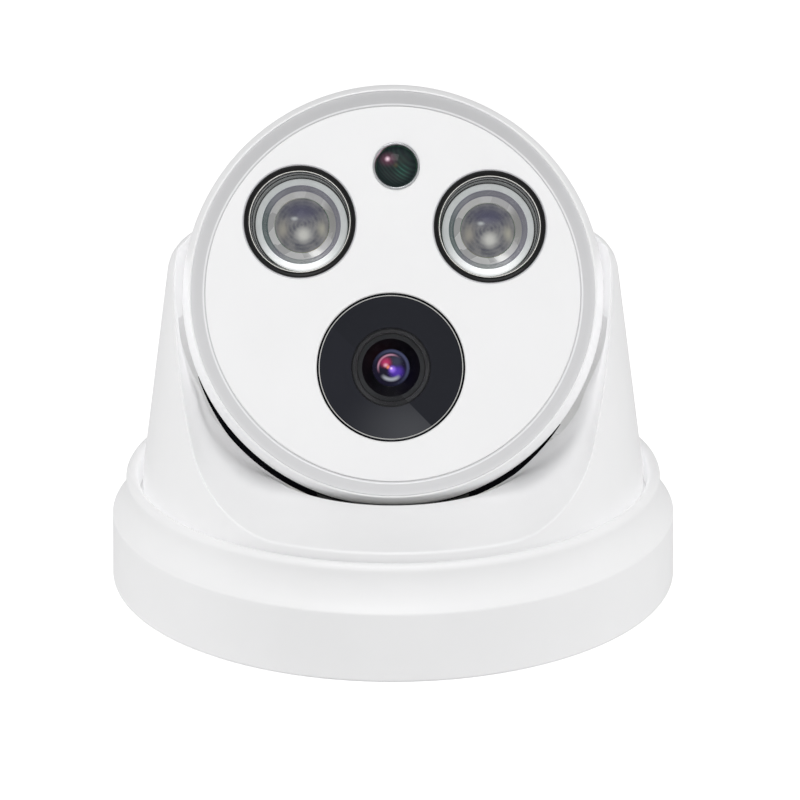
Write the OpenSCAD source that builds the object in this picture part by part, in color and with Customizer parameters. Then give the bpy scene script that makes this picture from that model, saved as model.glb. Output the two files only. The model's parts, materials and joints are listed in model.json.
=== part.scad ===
// Dome camera: a ball-shaped camera head held in a conical turret that turns on a round base.
// +Z is up, the front is -Y, and the origin is the centre of the base's mounting face.

/* [Base] */
// Diameter of the base ring at the mounting face
base_d = 110; // [110:0.5:112]
// Height of the base ring's upright wall
wall_h = 12.6; // [12:0.1:13]
// Radius of the hollow shoulder above the wall
shoulder_r = 8.7; // [8.4:0.1:9]
// Radius of the rounded bead around the turret
bead_r = 1.2; // [1:0.05:1.3]
// Diameter of the circle that the mounting holes lie on
hole_pcd = 72; // [64:1:76]
// Number of mounting holes
hole_count = 3; // [3:1:4]
// Diameter of each mounting hole
hole_d = 4.4; // [3.5:0.1:5]
// Diameter of the hole that the cable leaves by
cable_d = 7; // [5:0.5:8]

/* [Turret] */
// Height of the turret's rim above the mounting face
turret_h = 64.7; // [63:0.1:66]
// Lean of the turret's wall from upright, in degrees
turret_lean = 8.3; // [8:0.1:8.6]
// Thickness of the turret's wall
turret_wall = 2.6; // [2.2:0.1:2.8]
// Thickness of the scoop's own skin
scoop_wall = 2.2; // [1.6:0.1:2.4]
// Height of the scoop's floor
scoop_floor = 22.3; // [22:0.1:23]

/* [Ball] */
// Diameter of the ball
ball_d = 80; // [79.6:0.1:80.2]
// Height of the ball's centre
ball_z = 55; // [54.8:0.1:55.4]
// Tilt of the face above level, in degrees
face_tilt = 19.5; // [0:0.5:60]
// Turn of the face about its own normal, in degrees
face_turn = -1.5; // [-10:0.5:10]
// Distance from the ball's centre to the plane that cuts its front
face_cut = 12.5; // [12:0.1:13]
// Depth of the face plate below that plane
face_sink = 1.8; // [1:0.1:2]

/* [Face] */
// Diameter of each lamp's opening in the face plate
lamp_d = 21.1; // [20:0.1:22]
// Distance of each lamp from the face's middle line
lamp_x = 17.75; // [17:0.25:18.5]
// Height of the lamps above the face's centre
lamp_y = 13.05; // [12:0.05:14]
// Diameter of the window over the lens
window_d = 27.3; // [26:0.1:28]
// Distance of the window below the face's centre
window_drop = 13.7; // [13:0.1:14.5]
// Diameter of the light sensor's silver ring
eye_d = 8.7; // [8:0.1:9]
// Height of the light sensor above the face's centre
eye_y = 24; // [23.5:0.1:24.5]

/* [Hidden] */
$fn = 120;
eps = 0.05;
far = 200;

// Base sizes
base_r = base_d / 2;
draft = 0.032;
wall_top_r = base_r - draft * wall_h;
skirt_in_r = base_r - 3.1;
bead_z = 19.95;
bead_x = base_r - 4.4;
bore_r = bead_x - bead_r;
shoulder_x = bead_x + bead_r + shoulder_r;
shoulder_z = 19.5;
plate_r = skirt_in_r - 0.3;
plate_t = 3;
rail_in_r = 43.6;
rail_out_r = 46.2;
rail_top = 12.4;
boss_at = base_r - 5.7;
boss_r = 2.9;
boss_top = 11.9;
gasket_in_r = 41.5;
gasket_out_r = 45.5;
gasket_t = 1.2;
head_pocket_r = 1.8;
grommet_r = 8;
plug_r = 4.5;
plug_z = 6.8;
lock_r = 1.5;
lock_z = 17.7;
lock_turn = 125;

// Turret sizes
flange_z = 13.2;
flange_top = 15.5;
flange_r = base_r - 4;
flange_in_r = 43.5;
pocket_r = flange_r + 0.3;
neck_r = bore_r - 0.9;
neck_top = 20.9;
nose_r = 3.6;
socket_gap = 0.9;
ledge_z = 50;
slope = tan(turret_lean);
corner_r = 16.5;
corner_x = 20.7;
corner_z = scoop_floor + corner_r;
side_r = 125;
side_x = 40.7 - side_r;
side_z = 66;
cradle_screw_at = 40.2;
cradle_boss_r = 3.2;
cradle_boss_h = 4.8;
cradle_turns = [90, 210, 330];
seat_in_r = 16.5;
seat_out_r = 20;
pad_t = 0.9;
rim_gap = 0.3;

// Ball and face sizes
ball_r = ball_d / 2;
shell_t = 2.6;
shell_in_r = ball_r - shell_t;
seam_z = -6;
seam_gap = 0.2;
rim_r = sqrt(ball_r * ball_r - face_cut * face_cut);
plate_top = face_cut - face_sink;
plate_back = plate_top - 1.8;
face_r = rim_r - 3;
tail_r = 6;
lamp_r = lamp_d / 2;
cap_r = lamp_r - 1.05;
cap_top = plate_top - 0.2;
collar_r = 8.7;
collar_top = 1.8;
reflector_r = 7.5;
ledge_r = 6.65;
ledge_top = -1;
dome_r = 5.15;
dome_rise = 1.7;
dome_bend = (dome_r * dome_r + dome_rise * dome_rise) / (2 * dome_rise);
board_z = -4.1;
board_top = -2.5;
sink_z = -5.9;
post_spots = [[-28, -12], [28, -12], [-11, 28.4], [11, 28.4], [0, -30.9]];
post_r = 2.2;
screw_r = 1;
hole_r = 1.1;

// Lens, filter and board sizes
lens_y = -window_drop;
thread_r = 6;
head_r = 7.3;
glass_r = 3.55;
sensor_z = -11;
sensor_board_t = 1.6;
sensor_post_spots = [[-16.2, -24.2], [16.2, -24.2], [-16.2, 4.2], [16.2, 4.2]];
main_z = -19;
main_t = 1.6;
main_post_spots = [[-16, -16.5], [16, -16.5], [-16, 2.6], [16, 2.6]];
holder_top = 0.8;
mount_x = 13;
mount_y = 8;
mount_top = -7.3;
filter_z = -9.6;
filter_t = 0.9;
pane_w = 6;
pane_pitch = 6.6;
pane_h = 8;

// Colours
shell_white = "whitesmoke";
black = [0.05, 0.05, 0.06];
steel = [0.7, 0.71, 0.73];

// Points along an arc in a plane, from one angle to another
function arc(centre, r, from, to, steps) =
    [for (i = [0:steps]) centre + r * [cos(from + (to - from) * i / steps),
                                       sin(from + (to - from) * i / steps)]];

// Turret radius at a height, for the plain cone
function cone_r(z) = neck_r + (neck_top - z) * slope;

// Right half of the scoop's outline, widened by a margin, from the floor's middle upwards
function scoop_half(margin) = concat(
    [[0, scoop_floor - margin]],
    arc([corner_x, corner_z], corner_r + margin, -90, side_angle, 10),
    arc([side_x, side_z], side_r + margin, side_angle * 0.8, 0, 5),
    [[side_x + side_r + margin, far]]);
side_angle = atan2(corner_z - side_z, corner_x - side_x);

// Puts a child at each spot of a list
module at_spots(spots, z) {
    for (p = spots) translate([p[0], p[1], z]) children();
}

// Puts a child in the head's own frame: X right, Y up the face, Z out of the face
module on_head() {
    translate([0, 0, ball_z]) rotate([90 - face_tilt, 0, 0]) rotate([0, 0, face_turn]) children();
}

// A tube standing on a height
module ring(r_out, r_in, h, z) {
    translate([0, 0, z]) difference() {
        cylinder(r = r_out, h = h);
        translate([0, 0, -1]) cylinder(r = r_in, h = h + 2);
    }
}

// A screw seen as a domed head, a shank and a cross recess, pointing up
module screw(head, head_h, shank, length) {
    difference() {
        cylinder(r = head, h = head_h, $fn = 40);
        for (a = [0, 90]) rotate([0, 0, a])
            translate([-head * 0.6, -head * 0.13, -1]) cube([head * 1.2, head * 0.26, 1.5]);
    }
    translate([0, 0, head_h - eps]) cylinder(r = shank, h = length + eps, $fn = 40);
}

// --- Base ---

module base_ring() {
    color(shell_white) difference() {
        union() {
            rotate_extrude($fn = 180) base_profile();
            for (a = [45:90:315]) rotate([0, 0, a]) translate([boss_at, 0, plate_t])
                cylinder(r = boss_r, h = boss_top - plate_t, $fn = 40);
        }
        for (a = [45:90:315]) rotate([0, 0, a]) translate([boss_at, 0, plate_t - 1])
            cylinder(r = hole_r, h = 8, $fn = 40);
        translate([0, boss_at - 4, plug_z]) rotate([-90, 0, 0]) cylinder(r = plug_r, h = 20);
        rotate([0, 0, lock_turn]) translate([bore_r - 1, 0, lock_z]) rotate([0, 90, 0])
            cylinder(r = lock_r, h = 10, $fn = 40);
    }
}

// Section of the base ring: drafted skirt, hollow shoulder, bead and the lip over the flange
module base_profile() {
    difference() {
        polygon([[skirt_in_r, 0], [base_r, 0], [base_r - draft * bead_z, bead_z], [bore_r, bead_z],
                 [bore_r, flange_top + 0.3], [pocket_r, flange_top + 0.3],
                 [pocket_r, wall_h - 0.2], [skirt_in_r, wall_h - 0.2]]);
        translate([shoulder_x, shoulder_z]) circle(r = shoulder_r);
    }
    translate([bead_x, bead_z]) circle(r = bead_r);
}

module base_plate() {
    color("gainsboro") difference() {
        union() {
            cylinder(r = plate_r, h = plate_t);
            cylinder(r = grommet_r + 4, h = plate_t + 2);
        }
        ring(gasket_out_r, gasket_in_r, gasket_t + 1, -1);
        translate([0, 0, -1]) cylinder(r = grommet_r, h = 10);
        for (i = [0:hole_count - 1]) rotate([0, 0, 90 + i * 360 / hole_count])
            translate([hole_pcd / 2, 0, -1]) cylinder(d = hole_d, h = 10, $fn = 60);
        for (a = [45:90:315]) rotate([0, 0, a]) translate([boss_at, 0, -1]) {
            cylinder(r = hole_r + 0.1, h = 8, $fn = 40);
            cylinder(r = head_pocket_r, h = 2.3, $fn = 40);
        }
    }
}

// Upright ring on the base plate that carries the turret
module pan_rail() {
    color("gainsboro") ring(rail_out_r, rail_in_r, rail_top - plate_t, plate_t);
}

module base_gasket() {
    color("dimgray") ring(gasket_out_r, gasket_in_r, gasket_t, 0);
}

module cable_grommet() {
    color(black) difference() {
        union() {
            cylinder(r = grommet_r, h = plate_t + 2);
            translate([0, 0, plate_t + 2]) cylinder(r = grommet_r + 2.5, h = 1.5);
        }
        translate([0, 0, -1]) cylinder(d = cable_d, h = 20);
    }
}

module pan_ring() {
    color("ivory") ring(rail_out_r - 0.2, rail_in_r + 0.2, flange_z - rail_top - 0.1, rail_top);
}

module base_screws() {
    color(steel) for (a = [45:90:315]) rotate([0, 0, a]) translate([boss_at, 0, 0.1])
        screw(1.7, 1.2, screw_r, 7);
}

module side_plug() {
    color(shell_white) intersection() {
        translate([0, skirt_in_r + 0.1, plug_z]) rotate([-90, 0, 0])
            cylinder(r = plug_r - 0.1, h = 20);
        cylinder(r1 = base_r - 0.15, r2 = wall_top_r - 0.15, h = wall_h);
    }
}

module lock_screw() {
    color(steel) rotate([0, 0, lock_turn]) translate([bore_r + 0.2, 0, lock_z]) rotate([0, 90, 0])
        difference() {
            cylinder(r = lock_r, h = 2.2, $fn = 40);
            translate([0, 0, 1.2]) cylinder(r = 0.85, h = 3, $fn = 6);
        }
}

// --- Turret ---

// Solid of the turret's outside, with the rounded nose at the rim
module turret_outside() {
    nose_z = turret_h - nose_r;
    nose_x = cone_r(nose_z) - nose_r / cos(turret_lean);
    rotate_extrude($fn = 180) polygon(concat(
        [[0, flange_z], [neck_r, flange_z], [neck_r, neck_top]],
        arc([nose_x, nose_z], nose_r, turret_lean, 90, 8),
        [[0, turret_h]]));
}

// The scoop as a bar running forwards, widened by a margin
module scoop_bar(margin) {
    half = scoop_half(margin);
    n = len(half);
    outline = concat(half, [for (i = [n - 1:-1:1]) [-half[i][0], half[i][1]]]);
    rotate([90, 0, 0]) linear_extrude(height = 70) polygon(outline);
}

module turret_housing() {
    color(shell_white) difference() {
        union() {
            difference() {
                turret_outside();
                rotate_extrude($fn = 180) polygon([
                    [0, flange_z - 1], [neck_r - turret_wall, flange_z - 1],
                    [neck_r - turret_wall, neck_top], [cone_r(ledge_z) - turret_wall, ledge_z],
                    [0, ledge_z]]);
            }
            intersection() {
                turret_outside();
                scoop_bar(scoop_wall);
            }
            ring(flange_r, flange_in_r, flange_top - flange_z, flange_z);
            for (a = cradle_turns) rotate([0, 0, a]) {
                translate([cradle_screw_at, 0, flange_top])
                    cylinder(r = cradle_boss_r, h = cradle_boss_h, $fn = 40);
                translate([cradle_screw_at, -1.2, flange_top + 0.3])
                    cube([neck_r - cradle_screw_at - 1, 2.4, cradle_boss_h - 0.6]);
            }
        }
        scoop_bar(0);
        translate([0, 0, ball_z]) sphere(r = ball_r + socket_gap, $fn = 180);
        for (a = cradle_turns) rotate([0, 0, a]) translate([cradle_screw_at, 0, flange_z])
            cylinder(r = hole_r, h = 6.5, $fn = 40);
    }
}

module ball_cradle() {
    color("gainsboro") difference() {
        union() {
            ring(flange_in_r - 0.2, seat_in_r, flange_top - flange_z, flange_z);
            ring(seat_out_r, seat_in_r, 5, flange_top - 1);
        }
        translate([0, 0, ball_z]) sphere(r = ball_r + rim_gap + pad_t, $fn = 180);
        for (a = cradle_turns) rotate([0, 0, a]) translate([cradle_screw_at, 0, flange_z - 1])
            cylinder(r = hole_r + 0.1, h = 8, $fn = 40);
    }
}

module seat_pad() {
    color(black) translate([0, 0, ball_z]) intersection() {
        difference() {
            sphere(r = ball_r + rim_gap + pad_t, $fn = 180);
            sphere(r = ball_r + rim_gap, $fn = 180);
        }
        ring(seat_out_r - 0.4, seat_in_r + 0.4, far, -far);
    }
}

module cradle_screws() {
    color(steel) for (a = cradle_turns) rotate([0, 0, a])
        translate([cradle_screw_at, 0, flange_z - 1.3]) screw(2.1, 1.3, screw_r, 6);
}

// --- Ball ---

module rear_shell() {
    color(shell_white) on_head() difference() {
        sphere(r = ball_r, $fn = 180);
        sphere(r = shell_in_r, $fn = 180);
        translate([-far / 2, -far / 2, seam_z - seam_gap]) cube([far, far, far]);
        translate([0, 0, -far]) cylinder(r = tail_r, h = far);
    }
}

module ball_seal() {
    color(black) on_head() intersection() {
        sphere(r = shell_in_r, $fn = 180);
        ring(ball_r, shell_in_r - 2.8, 2.6, seam_z - 3);
    }
}

module ball_grommet() {
    color(black) on_head() intersection() {
        sphere(r = ball_r - 0.3, $fn = 180);
        difference() {
            translate([0, 0, -ball_r]) cylinder(r = tail_r, h = 5.4);
            translate([0, 0, -far]) cylinder(d = cable_d - 1, h = far);
        }
    }
}

// --- Head ---

module front_shell() {
    color(shell_white) on_head() difference() {
        union() {
            difference() {
                sphere(r = ball_r, $fn = 180);
                sphere(r = shell_in_r, $fn = 180);
            }
            intersection() {
                sphere(r = ball_r - 1, $fn = 180);
                ring(ball_r, face_r - 1.5, 1.9, plate_back - 1.9);
            }
        }
        translate([-far / 2, -far / 2, seam_z - far]) cube([far, far, far]);
        translate([-far / 2, -far / 2, face_cut]) cube([far, far, far]);
        translate([0, 0, plate_back]) cylinder(r = rim_r - 0.3, h = 20, $fn = 180);
    }
}

module bezel_ring() {
    color("lightgray") on_head() rotate_extrude($fn = 180) polygon([
        [face_r + 0.2, plate_back], [rim_r - 0.3, plate_back], [rim_r - 0.3, face_cut],
        [face_r + 0.6, plate_top - 0.1], [face_r + 0.2, plate_top - 0.1]]);
}

module face_plate() {
    color(shell_white) on_head() difference() {
        translate([0, 0, plate_back]) cylinder(r = face_r, h = plate_top - plate_back, $fn = 180);
        for (side = [-1, 1]) translate([side * lamp_x, lamp_y, 0]) {
            translate([0, 0, plate_back - 1]) cylinder(r = lamp_r, h = 5);
            translate([0, 0, plate_top - 0.3]) cylinder(r1 = lamp_r, r2 = lamp_r + 0.5, h = 0.5);
        }
        translate([0, lens_y, 0]) {
            translate([0, 0, plate_back - 1]) cylinder(d = window_d + 0.5, h = 5);
            translate([0, 0, plate_top - 0.3])
                cylinder(d1 = window_d + 0.5, d2 = window_d + 1.5, h = 0.5);
        }
        translate([0, eye_y, plate_back - 1]) cylinder(d = eye_d + 0.1, h = 5, $fn = 60);
    }
}

module lens_window() {
    color([0.04, 0.04, 0.05, 0.6]) on_head() translate([0, lens_y, plate_top - 1.4]) {
        cylinder(d = window_d, h = 1.1);
        translate([0, 0, 1.1]) cylinder(d1 = window_d, d2 = window_d - 0.6, h = 0.3);
    }
}

module window_gasket() {
    color(black) on_head() translate([0, lens_y, 0])
        ring(window_d / 2, window_d / 2 - 1.6, 0.4, plate_back);
}

// Black shroud between the window and the lens, with a flange under the face plate
module lens_hood() {
    color(black) on_head() translate([0, lens_y, 0]) rotate_extrude() polygon([
        [8.7, -1], [12.6, -1], [12.6, plate_back - 0.9], [14.6, plate_back - 0.9],
        [14.6, plate_back], [11.8, plate_back], [11.8, 0.2], [8.7, 0.2]]);
}

module lamp_at(side) {
    on_head() translate([side * lamp_x, lamp_y, 0]) children();
}

// Black tube around one lamp, a little proud of the face plate
module lamp_holder(side) {
    color(black) lamp_at(side) rotate_extrude() polygon([
        [lamp_r - 0.95, board_top], [lamp_r - 0.1, board_top], [lamp_r - 0.1, plate_top + 0.1],
        [lamp_r - 0.3, plate_top + 0.3], [lamp_r - 0.95, plate_top - 0.3]]);
}

// Clear cap over one lamp
module lamp_lens(side) {
    color([0.9, 0.92, 0.95, 0.5]) lamp_at(side) {
        translate([0, 0, cap_top - 1.1]) cylinder(r = cap_r, h = 0.8);
        translate([0, 0, cap_top - 0.3]) cylinder(r1 = cap_r, r2 = cap_r - 0.3, h = 0.3);
    }
}

// Frosted collar around one lamp's reflector
module lamp_collar(side) {
    color("whitesmoke") lamp_at(side)
        ring(collar_r, reflector_r, collar_top - board_top, board_top);
}

// Bright cone and ledge around one lamp's chips
module lamp_reflector(side) {
    color("silver") lamp_at(side) rotate_extrude() polygon([
        [dome_r + 0.1, board_top], [reflector_r, board_top], [reflector_r, collar_top - 0.2],
        [reflector_r - 0.2, collar_top - 0.2], [ledge_r, ledge_top], [dome_r + 0.1, ledge_top]]);
}

// Lamp chips: a round carrier with infrared dies
module lamp_array(side) {
    color("gold") lamp_at(side) {
        translate([0, 0, board_top]) cylinder(r = dome_r, h = 0.6);
        for (x = [-1.2, 1.2], y = [-1.2, 1.2])
            translate([x - 0.8, y - 0.8, board_top + 0.6 - eps]) cube([1.6, 1.6, 0.3 + eps]);
    }
}

// Clear dome over one lamp's chips
module lamp_dome(side) {
    bottom = board_top + 0.95;
    color([0.8, 0.8, 0.85, 0.5]) lamp_at(side) intersection() {
        translate([0, 0, bottom]) cylinder(r = dome_r, h = 5);
        translate([0, 0, bottom + dome_rise + 0.2 - dome_bend]) sphere(r = dome_bend);
    }
}

module lamp_holder_left() { lamp_holder(-1); }
module lamp_holder_right() { lamp_holder(1); }
module lamp_lens_left() { lamp_lens(-1); }
module lamp_lens_right() { lamp_lens(1); }
module lamp_collar_left() { lamp_collar(-1); }
module lamp_collar_right() { lamp_collar(1); }
module lamp_reflector_left() { lamp_reflector(-1); }
module lamp_reflector_right() { lamp_reflector(1); }
module lamp_array_left() { lamp_array(-1); }
module lamp_array_right() { lamp_array(1); }
module lamp_dome_left() { lamp_dome(-1); }
module lamp_dome_right() { lamp_dome(1); }

// Silver ring of the light sensor
module eye_ring() {
    color(steel) on_head() translate([0, eye_y, 0])
        ring(eye_d / 2, eye_d / 2 - 0.55, 4.9, plate_top - 4.5);
}

module eye_dome() {
    dome_r = eye_d / 2 - 0.6;
    ball = 5;
    color([0.15, 0.12, 0.12]) on_head() translate([0, eye_y, 0]) intersection() {
        translate([0, 0, plate_top - 1.6]) cylinder(r = dome_r, h = 10, $fn = 60);
        translate([0, 0, plate_top + 0.5 - ball]) sphere(r = ball);
    }
}

module eye_cell() {
    color("sienna") on_head() translate([0, eye_y, 0]) {
        translate([0, 0, 5.6]) cylinder(r = 2.5, h = 2, $fn = 60);
        for (x = [-1.3, 1.3]) translate([x, 0, board_top]) cylinder(r = 0.3, h = 8.2, $fn = 24);
    }
}

module face_posts() {
    color(shell_white) on_head() difference() {
        at_spots(post_spots, board_top) cylinder(r = post_r, h = plate_back - board_top, $fn = 40);
        at_spots(post_spots, board_top - 1) cylinder(r = hole_r, h = 8, $fn = 40);
    }
}

module lamp_board() {
    color("darkgreen") on_head() difference() {
        translate([0, 0, board_z]) cylinder(r = 33.4, h = board_top - board_z);
        translate([0, lens_y, board_z - 1]) cylinder(r = 13, h = 5);
        at_spots(post_spots, board_z - 1) cylinder(r = hole_r, h = 5, $fn = 40);
    }
}

// Aluminium plate with fins behind the lamp board
module heatsink() {
    color("silver") on_head() {
        difference() {
            translate([0, 0, sink_z]) cylinder(r = 33.4, h = board_z - sink_z);
            translate([0, lens_y, sink_z - 1]) cylinder(r = 13, h = 5);
            at_spots(post_spots, sink_z - 1) cylinder(r = hole_r, h = 5, $fn = 40);
        }
        for (i = [0:6]) translate([-14 + i * 4.4, 12, sink_z - 4]) cube([1.4, 13, 4 + eps]);
    }
}

module lamp_screws() {
    color(steel) on_head() at_spots(post_spots, sink_z - 1.2) screw(1.9, 1.2, screw_r, 8);
}

module board_posts() {
    color(steel) on_head() at_spots(sensor_post_spots, sensor_z)
        cylinder(r = post_r, h = sink_z - sensor_z, $fn = 6);
}

module sensor_board() {
    color("darkgreen") on_head()
        translate([-19, -27, sensor_z - sensor_board_t]) cube([38, 34, sensor_board_t]);
}

module image_sensor() {
    color([0.2, 0.3, 0.35]) on_head() translate([-4, lens_y - 4, sensor_z]) cube([8, 8, 0.9]);
}

// Lens mount: a flat box around the filter's slot, with the threaded tube on top
module lens_holder() {
    color(black) on_head() translate([0, lens_y, 0]) difference() {
        union() {
            translate([-mount_x, -mount_y, sensor_z])
                cube([2 * mount_x, 2 * mount_y, mount_top - sensor_z]);
            translate([0, 0, mount_top - eps]) cylinder(r = 8.2, h = holder_top - mount_top + eps);
        }
        translate([-mount_x + 1.8, -6, sensor_z - 1]) cube([2 * mount_x - 3.6, 12, 4]);
        translate([0, 0, sensor_z]) cylinder(r = 4.5, h = 5);
        translate([0, 0, mount_top]) cylinder(r = thread_r + 0.05, h = 20);
    }
}

module filter_coil() {
    color("peru") on_head() translate([mount_x + 0.3, lens_y - 4, sensor_z]) cube([5, 8, 3.4]);
}

module main_posts() {
    color(steel) on_head() at_spots(main_post_spots, main_z)
        cylinder(r = 2, h = sensor_z - sensor_board_t - main_z, $fn = 6);
}

module main_board() {
    color("darkgreen") on_head() difference() {
        translate([-20, -20, main_z - main_t]) cube([40, 36, main_t]);
        at_spots(main_post_spots, main_z - main_t - 1) cylinder(r = hole_r, h = 4, $fn = 40);
    }
}

module board_chips() {
    color([0.1, 0.1, 0.1]) on_head() {
        translate([-7, -9, main_z]) cube([14, 14, 1.3]);
        translate([-15, 7, main_z]) cube([9, 7, 1]);
        translate([7, 7, main_z]) cube([6, 6, 1]);
    }
}

// Two plug sockets on the back of the main board, open towards the cable
module board_sockets() {
    color("ivory") on_head() for (x = [-13, 3]) translate([x, 4, main_z - main_t - 4.2])
        difference() {
            cube([10, 6, 4.2]);
            translate([0.8, 0.8, -1]) cube([8.4, 4.4, 4.2]);
        }
}

module ribbon_cable() {
    color("white") on_head() translate([-5, 8.6, main_z]) cube([10, 0.3, sink_z - main_z]);
}

module main_screws() {
    color(steel) on_head() at_spots(main_post_spots, main_z - main_t - 1.1)
        screw(1.8, 1.1, screw_r, main_t);
}

// --- Lens ---

module lens_barrel() {
    color(black) on_head() translate([0, lens_y, 0]) rotate_extrude() polygon([
        [4.2, -7], [thread_r, -7], [thread_r, 2], [head_r, 2], [head_r, 6.6], [6.6, 6.6],
        [6.6, 6], [5.5, 6], [glass_r + 0.2, 4], [glass_r, 3.9], [glass_r, 2.4], [2.8, 2.4],
        [2.8, -4.4], [4.2, -4.4]]);
}

module lens_glass() {
    color([0.3, 0.1, 0.25]) on_head() translate([0, lens_y, 0]) intersection() {
        translate([0, 0, 2.4]) cylinder(r = glass_r, h = 5, $fn = 60);
        translate([0, 0, 4.4 - 7]) sphere(r = 7);
    }
}

module rear_element() {
    color([0.6, 0.7, 0.7]) on_head() translate([0, lens_y, -6.4])
        cylinder(r = 4.2, h = 1.8, $fn = 60);
}

module lens_lock_ring() {
    color([0.2, 0.2, 0.2]) on_head() translate([0, lens_y, 0]) ring(8, thread_r, 1, 0.9);
}

// --- Filter ---

module filter_frame() {
    color("dimgray") on_head() translate([0, lens_y, filter_z]) difference() {
        translate([-pane_pitch - 4, -5.4, 0]) cube([pane_pitch + 8, 10.8, filter_t]);
        for (x = [-pane_pitch, 0]) translate([x - pane_w / 2, -pane_h / 2, -1])
            cube([pane_w, pane_h, 3]);
    }
}

module pane(x) {
    on_head() translate([x - pane_w / 2, lens_y - pane_h / 2, filter_z + 0.2])
        cube([pane_w, pane_h, 0.5]);
}

module cut_filter() { color([0.3, 0.8, 0.8, 0.6]) pane(0); }
module clear_filter() { color([0.9, 0.9, 0.9, 0.5]) pane(-pane_pitch); }

base_ring();
base_plate();
pan_rail();
base_gasket();
cable_grommet();
pan_ring();
base_screws();
side_plug();
lock_screw();
turret_housing();
ball_cradle();
seat_pad();
cradle_screws();
rear_shell();
ball_seal();
ball_grommet();
front_shell();
bezel_ring();
face_plate();
lens_window();
window_gasket();
lens_hood();
lamp_holder_left();
lamp_holder_right();
lamp_lens_left();
lamp_lens_right();
lamp_collar_left();
lamp_collar_right();
lamp_reflector_left();
lamp_reflector_right();
lamp_array_left();
lamp_array_right();
lamp_dome_left();
lamp_dome_right();
eye_ring();
eye_dome();
eye_cell();
face_posts();
lamp_board();
heatsink();
lamp_screws();
board_posts();
sensor_board();
image_sensor();
lens_holder();
filter_coil();
main_posts();
main_board();
board_chips();
board_sockets();
ribbon_cable();
main_screws();
lens_barrel();
lens_glass();
rear_element();
lens_lock_ring();
filter_frame();
cut_filter();
clear_filter();
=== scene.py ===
"""Finished pieces of a turret dome camera, built over the frame that its CAD model gives.

Lengths in this file are millimetres until a mesh is made; the head's own frame has X to the right,
Y up the face and Z out of the face, with its origin at the ball's centre.
"""
import json
import math

import bmesh
import bpy
from mathutils import Matrix, Vector


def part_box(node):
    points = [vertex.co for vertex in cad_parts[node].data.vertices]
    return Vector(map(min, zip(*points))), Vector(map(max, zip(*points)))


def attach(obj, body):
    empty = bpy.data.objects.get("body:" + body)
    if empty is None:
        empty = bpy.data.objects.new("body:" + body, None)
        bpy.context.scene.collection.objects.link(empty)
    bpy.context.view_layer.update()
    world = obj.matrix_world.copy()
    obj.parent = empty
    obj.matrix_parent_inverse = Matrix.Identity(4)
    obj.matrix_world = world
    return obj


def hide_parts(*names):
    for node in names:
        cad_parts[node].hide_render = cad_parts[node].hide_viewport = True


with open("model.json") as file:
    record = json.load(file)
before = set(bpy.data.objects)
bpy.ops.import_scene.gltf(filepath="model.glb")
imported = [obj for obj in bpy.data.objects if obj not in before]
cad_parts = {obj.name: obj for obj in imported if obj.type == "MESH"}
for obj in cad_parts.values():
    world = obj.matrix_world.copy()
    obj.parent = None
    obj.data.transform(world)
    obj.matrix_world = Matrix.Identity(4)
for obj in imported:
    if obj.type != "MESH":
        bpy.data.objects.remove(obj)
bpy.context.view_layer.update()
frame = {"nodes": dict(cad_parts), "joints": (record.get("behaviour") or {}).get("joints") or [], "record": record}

bl_info = {
    "name": "Dome camera",
    "version": (1, 0, 0),
    "blender": (4, 5, 0),
    "location": "View3D > Sidebar > Dome camera",
    "description": "Builds the finished pieces of a turret dome camera over its CAD frame",
    "category": "Object",
}

# A millimetre, and the distance at which two points are merged, both in metres
MM = 0.001
SNAP = 2e-6
JOINTS = {joint["name"]: joint for joint in frame["joints"]}


# --- Places taken from the frame ---

def node_radius(node):
    """Half of a node's width along X, in millimetres."""
    low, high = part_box(node)
    return (high.x - low.x) / 2 / MM


def node_top(node):
    """Highest point of a node, in millimetres."""
    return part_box(node)[1].z / MM


def head_matrix():
    """Matrix from the head's own frame to the row frame, in metres."""
    out = Vector(JOINTS["face_roll"]["axis"]).normalized()
    right = Vector(JOINTS["filter_shift"]["axis"]).normalized()
    turn = Matrix((right, out.cross(right), out)).transposed().to_4x4()
    return Matrix.Translation(Vector(JOINTS["ball_tilt"]["pos_m"])) @ turn


HEAD = head_matrix()
ROW = Matrix.Identity(4)
BALL_Z = JOINTS["ball_tilt"]["pos_m"][2] / MM


# --- Sizes and colours that a user would change ---

def length(name, text, millimetres):
    """A length property with its default in millimetres."""
    return bpy.props.FloatProperty(
        name=name, description=text, default=millimetres * MM, min=0.0, precision=5, unit="LENGTH")


def colour(name, text, value):
    """A colour property in linear light."""
    return bpy.props.FloatVectorProperty(
        name=name, description=text, default=value, min=0.0, max=1.0, size=3, subtype="COLOR")


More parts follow.
